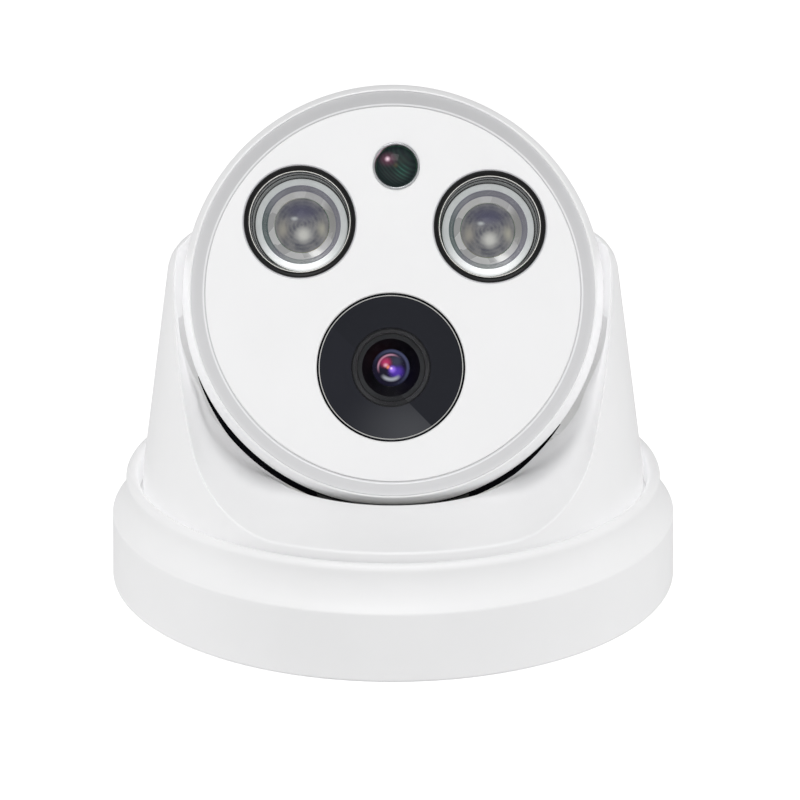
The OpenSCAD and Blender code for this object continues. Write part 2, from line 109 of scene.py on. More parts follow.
class DomeSizes(bpy.types.PropertyGroup):
    """Sizes of the camera's finished pieces."""

    base_radius: length("Base radius", "Radius of the base at its mounting face", node_radius("base_ring"))
    wall_draft: length("Wall draft", "How much the base wall leans in over its height", 0.4)
    wall_height: length("Wall height", "Height of the base's upright wall", 12.6)
    wall_round: length("Wall rounding", "Rounding of the wall's upper edge", 0.7)
    shoulder_radius: length("Shoulder radius", "Radius of the hollow shoulder", 8.7)
    bead_radius: length("Bead radius", "Radius of the bead around the turret", 1.2)
    turret_height: length("Turret height", "Height of the turret's rim", node_top("turret_housing"))
    turret_wall: length("Turret wall", "Thickness of the turret's wall", 2.6)
    scoop_wall: length("Scoop wall", "Thickness of the scoop's own skin", 2.2)
    scoop_edge: length("Scoop edge", "Rounding of the scoop's outer edge", 0.55)
    ball_radius: length("Ball radius", "Radius of the ball", 40.0)
    shell_wall: length("Shell wall", "Thickness of the ball's two shells", 2.6)
    face_cut: length("Face cut", "Distance from the ball's centre to its front edge", 12.5)
    face_top: length("Face height", "Distance from the ball's centre to the face plate's front", 10.7)
    lamp_radius: length("Lamp radius", "Radius of each lamp's opening", 10.55)
    window_radius: length("Window radius", "Radius of the lens window", 13.65)
    edge: length("Edge rounding", "Rounding of the small outer edges", 0.25)
    turret_lean: bpy.props.FloatProperty(
        name="Turret lean", description="Lean of the turret's wall from upright",
        default=math.radians(8.3), subtype="ANGLE")
    steps: bpy.props.IntProperty(
        name="Steps", description="Number of facets round a full-size turned piece", default=192, min=48)


class DomeColours(bpy.types.PropertyGroup):
    """Colours of the camera's finished pieces and of the stage."""

    shell: colour("Shell", "White of the moulded shells", (0.85, 0.85, 0.855))
    inside: colour("Inside", "Off-white of the plain inner mouldings", (0.66, 0.66, 0.64))
    bezel: colour("Bezel", "Light grey of the ring around the face plate", (0.61, 0.61, 0.62))
    black: colour("Black", "Black of the lamp tubes and the lens hood", (0.012, 0.012, 0.013))
    glass: colour("Glass", "Tint of the lens window", (0.019, 0.020, 0.025))
    board: colour("Board", "Solder mask of the boards", (0.012, 0.13, 0.05))
    floor: colour("Floor", "Pale floor", (0.72, 0.72, 0.72))
    daylight: bpy.props.FloatProperty(
        name="Daylight", description="Strength of the even light from all round", default=0.508, min=0.0)


def size(name):
    """One of the sizes, in millimetres."""
    return getattr(bpy.context.scene.dome_sizes, name) / MM


def paint(name):
    """One of the colours, as a list of three numbers."""
    return list(getattr(bpy.context.scene.dome_colours, name))


# --- Outlines ---

def arc(x, z, radius, start, end, steps):
    """Points on an arc, with its angles in degrees."""
    angles = [math.radians(start + (end - start) * i / steps) for i in range(steps + 1)]
    return [(x + radius * math.cos(a), z + radius * math.sin(a)) for a in angles]


def rounded(corners, default=0.0, steps=4):
    """Closed outline in which a corner (x, z, radius) is rounded, with a support point beside it."""
    support = 0.12
    points = []
    count = len(corners)
    for i, corner in enumerate(corners):
        here = Vector(corner[:2])
        radius = corner[2] if len(corner) > 2 else default
        back = Vector(corners[i - 1][:2]) - here
        ahead = Vector(corners[(i + 1) % count][:2]) - here
        half = back.angle(ahead) / 2
        if radius <= 0 or half > 1.5:
            points.append(tuple(here))
            continue
        reach = min(radius / math.tan(half), 0.47 * back.length, 0.47 * ahead.length)
        radius = reach * math.tan(half)
        one, two = back.normalized(), ahead.normalized()
        centre = here + (one + two).normalized() * (radius / math.sin(half))
        first, last = here + one * reach - centre, here + two * reach - centre
        whole = first.angle(last)
        if back.length > reach + 4 * support:
            points.append(tuple(here + one * (reach + support)))
        for k in range(steps + 1):
            t = k / steps
            bend = (first * math.sin((1 - t) * whole) + last * math.sin(t * whole)) / math.sin(whole)
            points.append(tuple(centre + bend))
        if ahead.length > reach + 4 * support:
            points.append(tuple(here + two * (reach + support)))
    return points


def between(a, b, share):
    """The point at a share of the way from a to b."""
    return tuple(p + (q - p) * share for p, q in zip(a, b))


def resampled(points, count):
    """The same line with count + 1 evenly spaced points."""
    runs = [0.0]
    for a, b in zip(points, points[1:]):
        runs.append(runs[-1] + math.dist(a, b))
    if runs[-1] < 1e-9:
        return [points[0]] * (count + 1)
    out, k = [], 0
    for i in range(count + 1):
        want = runs[-1] * i / count
        while k < len(points) - 2 and runs[k + 1] < want:
            k += 1
        span = runs[k + 1] - runs[k]
        t = 0.0 if span < 1e-12 else min(1.0, (want - runs[k]) / span)
        out.append(between(points[k], points[k + 1], t))
    return out


def shortened(points, cut):
    """The line with a length cut from its start."""
    left = cut
    for i, (a, b) in enumerate(zip(points, points[1:])):
        step = math.dist(a, b)
        if step > left:
            return [between(a, b, left / step)] + points[i + 1:]
        left -= step
    return points[-2:]


# --- Node trees ---

def add_node(tree, kind, values=None, **settings):
    """Adds a node; values maps a socket's name or number to a value or to another socket."""
    node = tree.nodes.new(kind)
    for key, value in settings.items():
        setattr(node, key, value)
    for key, value in (values or {}).items():
        socket = node.inputs[key]
        if isinstance(value, bpy.types.NodeSocket):
            tree.links.new(value, socket)
        else:
            socket.default_value = value
    return node


def math_node(tree, operation, a, b=0.0):
    """Output of a Math node on two values."""
    return add_node(tree, "ShaderNodeMath", {0: a, 1: b}, operation=operation).outputs[0]


class Tree:
    """A node group being built, with its nodes added and joined by short calls."""

    def __init__(self, name, kind, inputs, outputs):
        self.group = bpy.data.node_groups.new(name, kind)
        for label, socket, default in inputs:
            made = self.group.interface.new_socket(
                label, in_out="INPUT", socket_type="NodeSocket" + socket)
            if default is not None:
                made.default_value = default
        for label, socket in outputs:
            self.group.interface.new_socket(label, in_out="OUTPUT", socket_type="NodeSocket" + socket)
        self.start = self.group.nodes.new("NodeGroupInput").outputs
        self.end = self.group.nodes.new("NodeGroupOutput").inputs

    def add(self, kind, values=None, **settings):
        """Adds a node to the group."""
        return add_node(self.group, kind, values, **settings)

    def math(self, operation, a, b=0.0):
        """Output of a Math node in the group."""
        return math_node(self.group, operation, a, b)

    def vector(self, operation, a, b=None, output="Vector"):
        """Output of a Vector Math node in the group."""
        values = {0: a} if b is None else {0: a, 1: b}
        return self.add("ShaderNodeVectorMath", values, operation=operation).outputs[output]

    def ramp(self, source, start, end, **settings):
        """Nought to one as the source goes from start to end."""
        return self.add("ShaderNodeMapRange", {0: source, 1: start, 2: end}, **settings).outputs[0]

    def done(self, *sources):
        """Joins the sources to the group's outputs in order."""
        for source, target in zip(sources, self.end):
            self.group.links.new(source, target)
        return self.group

    def closed(self, last):
        """Ends a Geometry Nodes tree in real geometry with its material."""
        real = self.add("GeometryNodeRealizeInstances", {0: last.outputs[0]})
        painted = self.add("GeometryNodeSetMaterial",
                           {"Geometry": real.outputs[0], "Material": self.start["Finish"]})
        return self.done(painted.outputs[0])


def turned_tree():
    """Turns a closed outline of points (radius, 0, height) once round the Z axis."""
    tree = Tree("Turned piece", "GeometryNodeTree",
                [("Outline", "Geometry", None), ("Steps", "Int", 96), ("Finish", "Material", None)],
                [("Geometry", "Geometry")])
    outline, steps = tree.start["Outline"], tree.start["Steps"]
    count = tree.add("GeometryNodeAttributeDomainSize", {0: outline}, component="MESH")
    around = tree.math("ADD", steps, 1.0)
    grid = tree.add("GeometryNodeMeshGrid",
                    {"Vertices X": count.outputs["Point Count"], "Vertices Y": around})
    index = tree.add("GeometryNodeInputIndex").outputs[0]
    row = tree.math("FLOOR", tree.math("DIVIDE", tree.math("ADD", index, 0.5), around))
    column = tree.math("SUBTRACT", index, tree.math("MULTIPLY", row, around))
    place = tree.add("GeometryNodeInputPosition").outputs[0]
    point = tree.add("GeometryNodeSampleIndex", {0: outline, "Value": place, "Index": row},
                     data_type="FLOAT_VECTOR", domain="POINT")
    angle = tree.math("MULTIPLY", tree.math("DIVIDE", column, steps), math.tau)
    turn = tree.add("ShaderNodeVectorRotate", {"Vector": point.outputs[0], "Angle": angle},
                    rotation_type="Z_AXIS")
    moved = tree.add("GeometryNodeSetPosition",
                     {"Geometry": grid.outputs["Mesh"], "Position": turn.outputs[0]})
    return tree.closed(tree.add("GeometryNodeMergeByDistance",
                                {"Geometry": moved.outputs[0], "Distance": SNAP}))


def spots_tree():
    """Puts a copy of a part at each point, turned by the point's own angle, with a little spread."""
    tree = Tree("Parts at spots", "GeometryNodeTree",
                [("Spots", "Geometry", None), ("Part", "Object", None), ("Size spread", "Float", 0.0),
                 ("Seed", "Int", 3), ("Finish", "Material", None)], [("Geometry", "Geometry")])
    part = tree.add("GeometryNodeObjectInfo", {"Object": tree.start["Part"]}, transform_space="ORIGINAL")
    turn = tree.add("GeometryNodeInputNamedAttribute", {"Name": "turn"}, data_type="FLOAT")
    turned = tree.add("ShaderNodeCombineXYZ", {"Z": turn.outputs[0]})
    low = tree.math("SUBTRACT", 1.0, tree.start["Size spread"])
    high = tree.math("ADD", 1.0, tree.start["Size spread"])
    spread = tree.add("FunctionNodeRandomValue", {"Min": low, "Max": high, "Seed": tree.start["Seed"]},
                      data_type="FLOAT")
    value = [s for s in spread.outputs if s.enabled][0]
    return tree.closed(tree.add("GeometryNodeInstanceOnPoints",
                                {"Points": tree.start["Spots"], "Instance": part.outputs["Geometry"],
                                 "Rotation": turned.outputs[0], "Scale": value}))


def ring_tree():
    """Puts a number of copies of a part evenly round a circle about the Z axis."""
    tree = Tree("Parts in a ring", "GeometryNodeTree",
                [("Part", "Geometry", None), ("Count", "Int", 12), ("Radius", "Float", 0.01),
                 ("First turn", "Float", 0.0), ("Finish", "Material", None)], [("Geometry", "Geometry")])
    count, radius = tree.start["Count"], tree.start["Radius"]
    points = tree.add("GeometryNodePoints", {"Count": count})
    index = tree.add("GeometryNodeInputIndex").outputs[0]
    share = tree.math("DIVIDE", index, count)
    angle = tree.math("ADD", tree.math("MULTIPLY", share, math.tau), tree.start["First turn"])
    place = tree.add("ShaderNodeCombineXYZ",
                     {"X": tree.math("MULTIPLY", tree.math("COSINE", angle), radius),
                      "Y": tree.math("MULTIPLY", tree.math("SINE", angle), radius)})
    moved = tree.add("GeometryNodeSetPosition",
                     {"Geometry": points.outputs[0], "Position": place.outputs[0]})
    turn = tree.add("ShaderNodeCombineXYZ", {"Z": angle})
    return tree.closed(tree.add("GeometryNodeInstanceOnPoints",
                                {"Points": moved.outputs[0], "Instance": tree.start["Part"],
                                 "Rotation": turn.outputs[0]}))


# --- Meshes and pieces ---

def new_object(name, points, faces=()):
    """A mesh object in the scene, from points in metres."""
    mesh = bpy.data.meshes.new(name)
    mesh.from_pydata([tuple(p) for p in points], [], [tuple(f) for f in faces])
    made = bpy.data.objects.new(name, mesh)
    bpy.context.scene.collection.objects.link(made)
    return made


def baked(thing, group=None, **inputs):
    """Runs a Geometry Nodes tree, or the modifiers already there, and keeps the result as a plain mesh."""
    if group:
        modifier = thing.modifiers.new(group.name, "NODES")
        modifier.node_group = group
        for item in group.interface.items_tree:
            key = item.name.lower().replace(" ", "_")
            if item.in_out == "INPUT" and key in inputs:
                modifier[item.identifier] = inputs[key]
    bpy.context.view_layer.update()
    scene_state = bpy.context.evaluated_depsgraph_get()
    mesh = bpy.data.meshes.new_from_object(thing.evaluated_get(scene_state))
    thing.modifiers.clear()
    thing.data = mesh
    return thing


def tidied(thing, outwards=True, crease=32.0):
    """Merges doubles, points the faces outwards and smooths all but the sharp edges."""
    made = bmesh.new()
    made.from_mesh(thing.data)
    bmesh.ops.remove_doubles(made, verts=made.verts, dist=SNAP)
    bmesh.ops.dissolve_degenerate(made, dist=1e-7, edges=made.edges)
    if outwards:
        bmesh.ops.recalc_face_normals(made, faces=made.faces)
    made.to_mesh(thing.data)
    made.free()
    thing.data.shade_smooth()
    thing.data.set_sharp_from_angle(angle=math.radians(crease))
    return thing


def turned(name, outline, steps=None, place=ROW):
    """A piece turned about the Z axis from a closed outline of (radius, height)."""
    points = [Vector((x, 0.0, z)) * MM for x, z in list(outline) + [outline[0]]]
    steps = steps or bpy.context.scene.dome_sizes.steps
    made = baked(new_object(name, points), TREES["turned"], steps=steps)
    tidied(made)
    made.data.transform(place)
    return made


def at(x, y, z=0.0):
    """A place in the head's own frame, as a matrix in metres."""
    return HEAD @ Matrix.Translation(Vector((x, y, z)) * MM)


def joined(things):
    """Joins several objects into the first one."""
    made = bmesh.new()
    for thing in things:
        made.from_mesh(thing.data)
    made.to_mesh(things[0].data)
    made.free()
    for thing in things[1:]:
        bpy.data.objects.remove(thing)
    return things[0]


def cut(thing, cutters):
    """Cuts turned or boxed shapes out of a piece."""
    for cutter in cutters:
        bite = thing.modifiers.new("Cut", "BOOLEAN")
        bite.operation = "DIFFERENCE"
        bite.solver = "EXACT"
        bite.object = cutter
    baked(thing)
    for cutter in cutters:
        bpy.data.objects.remove(cutter)
    return tidied(thing, outwards=False)


def block(name, wide, deep, high, bevel, place=ROW, low=0.0):
    """A bevelled block that stands on a height, centred on Z."""
    made = bmesh.new()
    shift = Matrix.Translation((0, 0, (low + high / 2) * MM))
    scale = Matrix.Diagonal((wide * MM, deep * MM, high * MM, 1.0))
    bmesh.ops.create_cube(made, size=1.0, matrix=shift @ scale)
    if bevel > 0:
        bmesh.ops.bevel(made, geom=made.edges, offset=bevel * MM, segments=2, profile=0.5, affect="EDGES")
    thing = new_object(name, [])
    made.to_mesh(thing.data)
    made.free()
    tidied(thing)
    thing.data.transform(place)
    return thing


def spread(name, part, spots, place=ROW, size_spread=0.0, seed=3):
    """Copies of a part at spots (x, y, z, turn in degrees)."""
    cloud = new_object(name, [Vector(s[:3]) * MM for s in spots])
    turn = cloud.data.attributes.new("turn", "FLOAT", "POINT")
    turn.data.foreach_set("value", [math.radians(s[3]) if len(s) > 3 else 0.0 for s in spots])
    baked(cloud, TREES["spots"], part=part, size_spread=size_spread, seed=seed)
    bpy.data.objects.remove(part)
    tidied(cloud)
    cloud.data.transform(place)
    return cloud


def ringed(part, count, radius, first=0.0, place=ROW):
    """Copies of a part evenly round the Z axis."""
    baked(part, TREES["ring"], count=count, radius=radius * MM, first_turn=math.radians(first))
    tidied(part)
    part.data.transform(place)
    return part


def settle(piece, body, slot, *nodes, finish=None):
    """Gives a piece its finish (its slot's own, or another by name) and its body, and hides the CAD nodes that it
    replaces.
    """
    piece.data.materials.clear()
    piece.data.materials.append(FINISH[finish or slot])
    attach(piece, body)
    if nodes:
        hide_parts(*nodes)
    return piece


# --- Shared surface effects ---

def noise(tree, vector, scale, detail=3.0, rough=0.5):
    """Factor of a noise texture."""
    values = {"Vector": vector, "Scale": scale, "Detail": detail, "Roughness": rough}
    return add_node(tree, "ShaderNodeTexNoise", values).outputs[0]


def moulded_group():
    """Moulded or cast surface: faint cloudiness, uneven gloss and a fine spark-eroded grain."""
    tree = Tree("Moulded surface", "ShaderNodeTree",
                [("Vector", "Vector", None), ("Cloud scale", "Float", 45.0),
                 ("Grain scale", "Float", 2600.0)],
                [("Cloud", "Float"), ("Gloss", "Float"), ("Grain", "Float")])
    vector, scale = tree.start["Vector"], tree.start["Cloud scale"]
    return tree.done(noise(tree.group, vector, scale, 4.0),
                     noise(tree.group, vector, tree.math("MULTIPLY", scale, 5.0), 2.0),
                     noise(tree.group, vector, tree.start["Grain scale"], 2.0, 0.6))


def brushed_group():
    """Metal brushed along one direction: long fine lines, with a few deeper scratches."""
    tree = Tree("Brushed lines", "ShaderNodeTree",
                [("Vector", "Vector", None), ("Stretch", "Vector", (1.0, 40.0, 40.0)),
                 ("Scale", "Float", 160.0)], [("Lines", "Float"), ("Scratches", "Float")])
    long = tree.vector("MULTIPLY", tree.start["Vector"], tree.start["Stretch"])
    lines = noise(tree.group, long, tree.start["Scale"], 5.0, 0.7)
    deep = noise(tree.group, long, tree.math("MULTIPLY", tree.start["Scale"], 0.35), 1.0)
    return tree.done(lines, tree.ramp(deep, 0.62, 0.7))


def glint_group():
    """Soft-edged spot around a centre, which may be stretched into an oval."""
    tree = Tree("Glint", "ShaderNodeTree",
                [("Vector", "Vector", None), ("Centre", "Vector", None),
                 ("Stretch", "Vector", (1.0, 1.0, 0.0)), ("Radius", "Float", 1.0),
                 ("Softness", "Float", 0.3)], [("Mask", "Float")])
    radius, soft = tree.start["Radius"], tree.start["Softness"]
    away = tree.vector("SUBTRACT", tree.start["Vector"], tree.start["Centre"])
    oval = tree.vector("MULTIPLY", away, tree.start["Stretch"])
    far = tree.vector("LENGTH", oval, output="Value")
    inner = tree.math("SUBTRACT", radius, soft)
    outer = tree.math("ADD", radius, soft)
    return tree.done(tree.ramp(far, outer, inner, interpolation_type="SMOOTHSTEP"))


def crescent_group():
    """Part of a ring about Z: brightest in one direction, and fading away from it."""
    tree = Tree("Crescent", "ShaderNodeTree",
                [("Vector", "Vector", None), ("Direction", "Vector", (0.0, 1.0, 0.0)),
                 ("Radius", "Float", 2.0), ("Half width", "Float", 0.3),
                 ("From", "Float", 0.4), ("To", "Float", 0.9)], [("Mask", "Float")])
    flat = tree.vector("MULTIPLY", tree.start["Vector"], (1.0, 1.0, 0.0))
    far = tree.vector("LENGTH", flat, output="Value")
    off = tree.math("ABSOLUTE", tree.math("SUBTRACT", far, tree.start["Radius"]))
    band = tree.ramp(off, tree.start["Half width"], 0.0, interpolation_type="SMOOTHSTEP")
    unit = tree.vector("NORMALIZE", flat)
    facing = tree.vector("DOT_PRODUCT", unit, tree.start["Direction"], output="Value")
    side = tree.ramp(facing, tree.start["From"], tree.start["To"], interpolation_type="SMOOTHSTEP")
    return tree.done(tree.math("MULTIPLY", band, side))


# --- Materials ---

def oval(x, y, wide, high, radius, soft, tint):
    """A soft spot of colour for Finish.over; wide and high squeeze it, in its own millimetres."""
    values = {"centre": (x, y, 0.0), "stretch": (wide, high, 0.0), "radius": radius, "softness": soft}
    return "glint", values, tint


def bow(x, y, radius, half, start, end, tint):
    """A soft bow of colour for Finish.over, which faces the direction (x, y)."""
    values = {"direction": (x, y, 0.0), "radius": radius, "half_width": half, "from": start, "to": end}
    return "crescent", values, tint


class Finish:
    """A material with a Principled shader, whose sockets are fed by short calls."""

    def __init__(self, name, place=ROW, **values):
        self.material = bpy.data.materials.new(name)
        self.material.use_nodes = True
        self.tree = self.material.node_tree
        self.shader = self.tree.nodes["Principled BSDF"]
        self.where = add_node(self.tree, "ShaderNodeTexCoord").outputs["Object"]
        if place != ROW:
            values_there = {"Vector": self.where, "Location": place.to_translation(),
                            "Rotation": place.to_euler(), "Scale": (MM, MM, MM)}
            self.where = add_node(self.tree, "ShaderNodeMapping", values_there,
                                  vector_type="TEXTURE").outputs[0]
        for key, value in values.items():
            self.shader.inputs[key.replace("_", " ")].default_value = value

    def group(self, name, **values):
        """Adds one of the shared surface groups, read at this material's own place."""
        node = add_node(self.tree, "ShaderNodeGroup", None, node_tree=EFFECTS[name])
        self.tree.links.new(self.where, node.inputs["Vector"])
        for key, value in values.items():
            node.inputs[key.replace("_", " ").capitalize()].default_value = value
        return node.outputs

    def disc(self, radius, soft):
        """Mask of a disc about the material's own place."""
        return self.group("glint", radius=radius, softness=soft)["Mask"]

    def texture(self, kind, values, output, **settings):
        """Output of a texture read at the material's own place."""
        return add_node(self.tree, "ShaderNodeTex" + kind, {"Vector": self.where, **values},
                        **settings).outputs[output]

    def mix(self, factor, a, b):
        """Mixes two colours, each a list or a socket."""
        node = add_node(self.tree, "ShaderNodeMix", {0: factor}, data_type="RGBA")
        for index, value in ((6, a), (7, b)):
            if isinstance(value, bpy.types.NodeSocket):
                self.tree.links.new(value, node.inputs[index])
            else:
                node.inputs[index].default_value = list(value)[:3] + [1.0]
        return node.outputs[2]

    def over(self, start, *layers):
        """Colours laid one over another, each through its own mask."""
        for kind, values, tint in layers:
            start = self.mix(self.group(kind, **values)["Mask"], start, tint)
        return start

    def spread(self, source, low, high, start=0.3, end=0.7):
        """A value that runs from low to high as the source goes from start to end."""
        values = {0: source, 1: start, 2: end, 3: low, 4: high}
        return add_node(self.tree, "ShaderNodeMapRange", values).outputs[0]

    def feed(self, source, *sockets):
        """Joins an output to one or more of the shader's sockets."""
        for socket in sockets:
            self.tree.links.new(source, self.shader.inputs[socket])

    def relief(self, height, depth, strength=0.4):
        """Feeds a height through a Bump node; depth is in millimetres."""
        values = {"Height": height, "Distance": depth * MM, "Strength": strength}
        self.feed(add_node(self.tree, "ShaderNodeBump", values).outputs[0], "Normal")


def shade(base, amount):
    """A colour made lighter or darker by an amount."""
    return [min(1.0, c * amount) for c in base]


def grey(value):
    """A neutral colour."""
    return [value, value, value]


def plastic(name, base, rough, cloud=45.0, grain=2600.0, depth=0.004, tone=0.03, **values):
    """Moulded plastic or rubber with a faint cloud, uneven gloss and fine grain."""
    made = Finish(name, **values)
    surface = made.group("moulded", cloud_scale=cloud, grain_scale=grain)
    made.feed(made.mix(made.spread(surface["Cloud"], 0.0, 1.0), shade(base, 1 - tone),
                       shade(base, 1 + tone)), "Base Color")
    made.feed(made.spread(surface["Gloss"], rough * 0.85, rough * 1.15), "Roughness")
    made.relief(surface["Grain"], depth)
    return made.material


def metal(name, base, rough, stretch=(1.0, 30.0, 30.0), scale=150.0, depth=0.003):
    """Brushed or turned metal."""
    made = Finish(name, Metallic=1.0)
    lines = made.group("brushed", stretch=stretch, scale=scale)
    made.feed(made.mix(lines["Lines"], shade(base, 0.86), shade(base, 1.08)), "Base Color")
    made.feed(made.spread(lines["Scratches"], rough, rough * 1.5, 0.0, 1.0), "Roughness")
    made.relief(lines["Lines"], depth)
    return made.material


def clear(name, tint, alpha, index=2.2, rough=0.02):
    """Clear or smoked sheet: dark body seen through its opacity, with a glassy face."""
    made = Finish(name, IOR=index)
    surface = made.group("moulded", cloud_scale=120.0, grain_scale=900.0)
    made.feed(made.mix(surface["Cloud"], shade(tint, 0.9), shade(tint, 1.1)), "Base Color")
    made.feed(made.spread(surface["Gloss"], rough, rough * 1.8), "Roughness")
    made.feed(made.spread(surface["Cloud"], alpha * 0.98, alpha * 1.02), "Alpha")
    return made.material


def board_finish():
    """Green solder mask over copper tracks, with bare pads."""
    made = Finish("Solder mask", HEAD, Coat_Weight=0.3, Coat_Roughness=0.15)
    tracks = made.texture("Brick", {"Scale": 0.42, "Mortar Size": 0.06, "Mortar Smooth": 0.3,
                                    "Brick Width": 1.7, "Row Height": 0.55}, "Fac",
                          offset=0.37, squash=1.6)
    pads = made.texture("Voronoi", {"Scale": 0.8}, "Distance")
    base = paint("board")
    under = made.mix(tracks, base, shade(base, 1.9))
    dots = made.spread(pads, 1.0, 0.0, 0.12, 0.16)
    made.feed(made.mix(dots, under, [0.72, 0.68, 0.55]), "Base Color")
    made.feed(made.spread(dots, 0.0, 0.9, 0.0, 1.0), "Metallic")
    made.feed(made.spread(tracks, 0.42, 0.3, 0.0, 1.0), "Roughness")
    made.relief(tracks, 0.05)
    return made.material


def winding_finish():
    """Enamelled copper wire wound in close turns."""
    made = Finish("Copper winding", HEAD, Metallic=0.85)
    turns = made.texture("Wave", {"Scale": 1.6, "Distortion": 0.4, "Detail": 1.0}, "Fac",
                         bands_direction="Z")
    made.feed(made.mix(turns, [0.35, 0.13, 0.04], [0.80, 0.40, 0.17]), "Base Color")
    made.feed(made.spread(turns, 0.45, 0.28, 0.0, 1.0), "Roughness")
    made.relief(turns, 0.12)
    return made.material


def ribbon_finish():
    """Flat cable with its conductors showing through the sleeve."""
    made = Finish("Flat cable", HEAD, Roughness=0.4)
    cores = made.texture("Wave", {"Scale": 0.32}, "Fac", bands_direction="X")
    made.feed(made.mix(cores, [0.55, 0.55, 0.53], [0.82, 0.82, 0.8]), "Base Color")
    made.relief(cores, 0.06)
    return made.material


def window_finish(place):
    """Window with a dark printed mask round a clear middle, and a painted reflection: a soft wedge of light in its
    emission.
    """
    made = Finish("Masked window", place, Roughness=0.06, IOR=1.12, Emission_Strength=1.0)
    tint = paint("glass")
    cloud = made.group("moulded", cloud_scale=0.08, grain_scale=2.0)["Cloud"]
    middle = made.disc(7.42, 0.05)
    mask = made.mix(cloud, shade(tint, 0.92), shade(tint, 1.08))
    made.feed(made.mix(middle, mask, grey(0.001)), "Base Color")
    # Painted reflection: a soft wedge of light, strongest at the lower right, with a straight upper edge
    near = made.group("glint", centre=(4.5, -12.5, 0.0), stretch=(0.8, 1.0, 0.0), radius=6.0,
                      softness=6.0)["Mask"]
    painted_reflection = made.mix(near, [0.002, 0.002, 0.003], [0.042, 0.043, 0.045])
    across = made.group("glint", centre=(WEDGE_X, WEDGE_Y, 0.0), radius=WEDGE_FAR, softness=0.08)["Mask"]
    made.feed(made.mix(across, grey(0.0), painted_reflection), "Emission Color")
    # The painted reflection also makes the pane less clear where it lies
    both = math_node(made.tree, "MULTIPLY", across, near)
    veil = math_node(made.tree, "MULTIPLY", both, 0.75)
    clear_part = made.spread(middle, 1.0, 0.05, 0.0, 1.0)
    made.feed(math_node(made.tree, "MAXIMUM", clear_part, veil), "Alpha")
    return made.material


def lens_finish(place):
    """Front element of the lens: dark coated glass, with painted coloured reflections and highlights glowing in
    its emission.
    """
    made = Finish("Lens coating", place, Roughness=0.03, IOR=1.2, Emission_Strength=1.25)
    # Painted reflections: coloured bows and spots of light fixed on the glass, fed to its emission
    made.feed(made.over(
        [0.004, 0.005, 0.010],
        bow(0.7, 0.7, 3.2, 0.5, -0.9, 1.0, [0.05, 0.06, 0.11]),
        bow(-0.6, 0.8, 2.45, 0.32, 0.1, 0.9, [0.42, 0.22, 0.30]),
        oval(-1.0, 1.0, 0.9, 1.1, 0.8, 0.75, [0.40, 0.03, 0.10]),
        oval(1.0, -0.7, 0.8, 0.9, 0.9, 0.7, [0.07, 0.03, 0.34]),
        oval(1.0, 1.3, 1.0, 1.0, 0.9, 0.6, [0.03, 0.035, 0.055]),
        bow(0.0, -1.0, 2.2, 0.6, 0.55, 0.95, [0.30, 0.32, 0.36]),
        oval(-1.0, 0.45, 1.0, 1.2, 0.35, 0.35, [0.70, 0.34, 0.42]),
        oval(-0.55, 0.1, 1.0, 1.0, 0.28, 0.25, [0.75, 0.22, 0.08]),
        oval(0.25, -0.3, 1.0, 1.0, 0.5, 0.45, [0.30, 0.16, 0.78]),
        oval(0.05, -0.12, 1.0, 1.0, 0.18, 0.2, [0.85, 0.60, 0.95])), "Emission Color")
    cloud = made.group("moulded", cloud_scale=0.6)["Cloud"]
    made.feed(made.mix(cloud, [0.01, 0.01, 0.02], [0.02, 0.01, 0.03]), "Base Color")
    return made.material


def eye_finish(place):
    """Dark dome of the light sensor, faintly streaked, with a painted warm glow, painted green streaks of light
    and a painted highlight in its emission.
    """
    made = Finish("Sensor dome", place, Roughness=0.05, IOR=1.25, Emission_Strength=1.0)
    streaks = made.texture("Wave", {"Scale": 0.62, "Distortion": 0.8, "Phase Offset": 1.0}, "Fac",
                           bands_direction="DIAGONAL")
    # Green streaks of painted light, for the lower right of the emission
    green = made.mix(made.spread(streaks, 0.0, 1.0, 0.6, 1.0),
                     [0.010, 0.030, 0.024], [0.022, 0.080, 0.058])
    # Painted light: green streaks at the lower right, a warm glow and a pink-white highlight at the upper left,
    # fed to the emission
    made.feed(made.over(
        [0.009, 0.013, 0.014],
        oval(1.1, -0.9, 0.9, 0.8, 0.9, 0.9, green),
        oval(0.9, 1.1, 0.8, 1.2, 0.7, 0.9, [0.018, 0.026, 0.022]),
        oval(-0.1, 0.1, 1.0, 1.0, 0.25, 0.5, [0.075, 0.060, 0.030]),
        oval(-1.55, 1.2, 0.9, 1.1, 0.9, 1.1, [0.13, 0.035, 0.07]),
        oval(-1.65, 1.25, 1.0, 1.0, 0.3, 0.4, [0.98, 0.70, 0.82])), "Emission Color")
    made.feed(made.mix(streaks, [0.008, 0.010, 0.011], [0.012, 0.022, 0.019]), "Base Color")
    return made.material


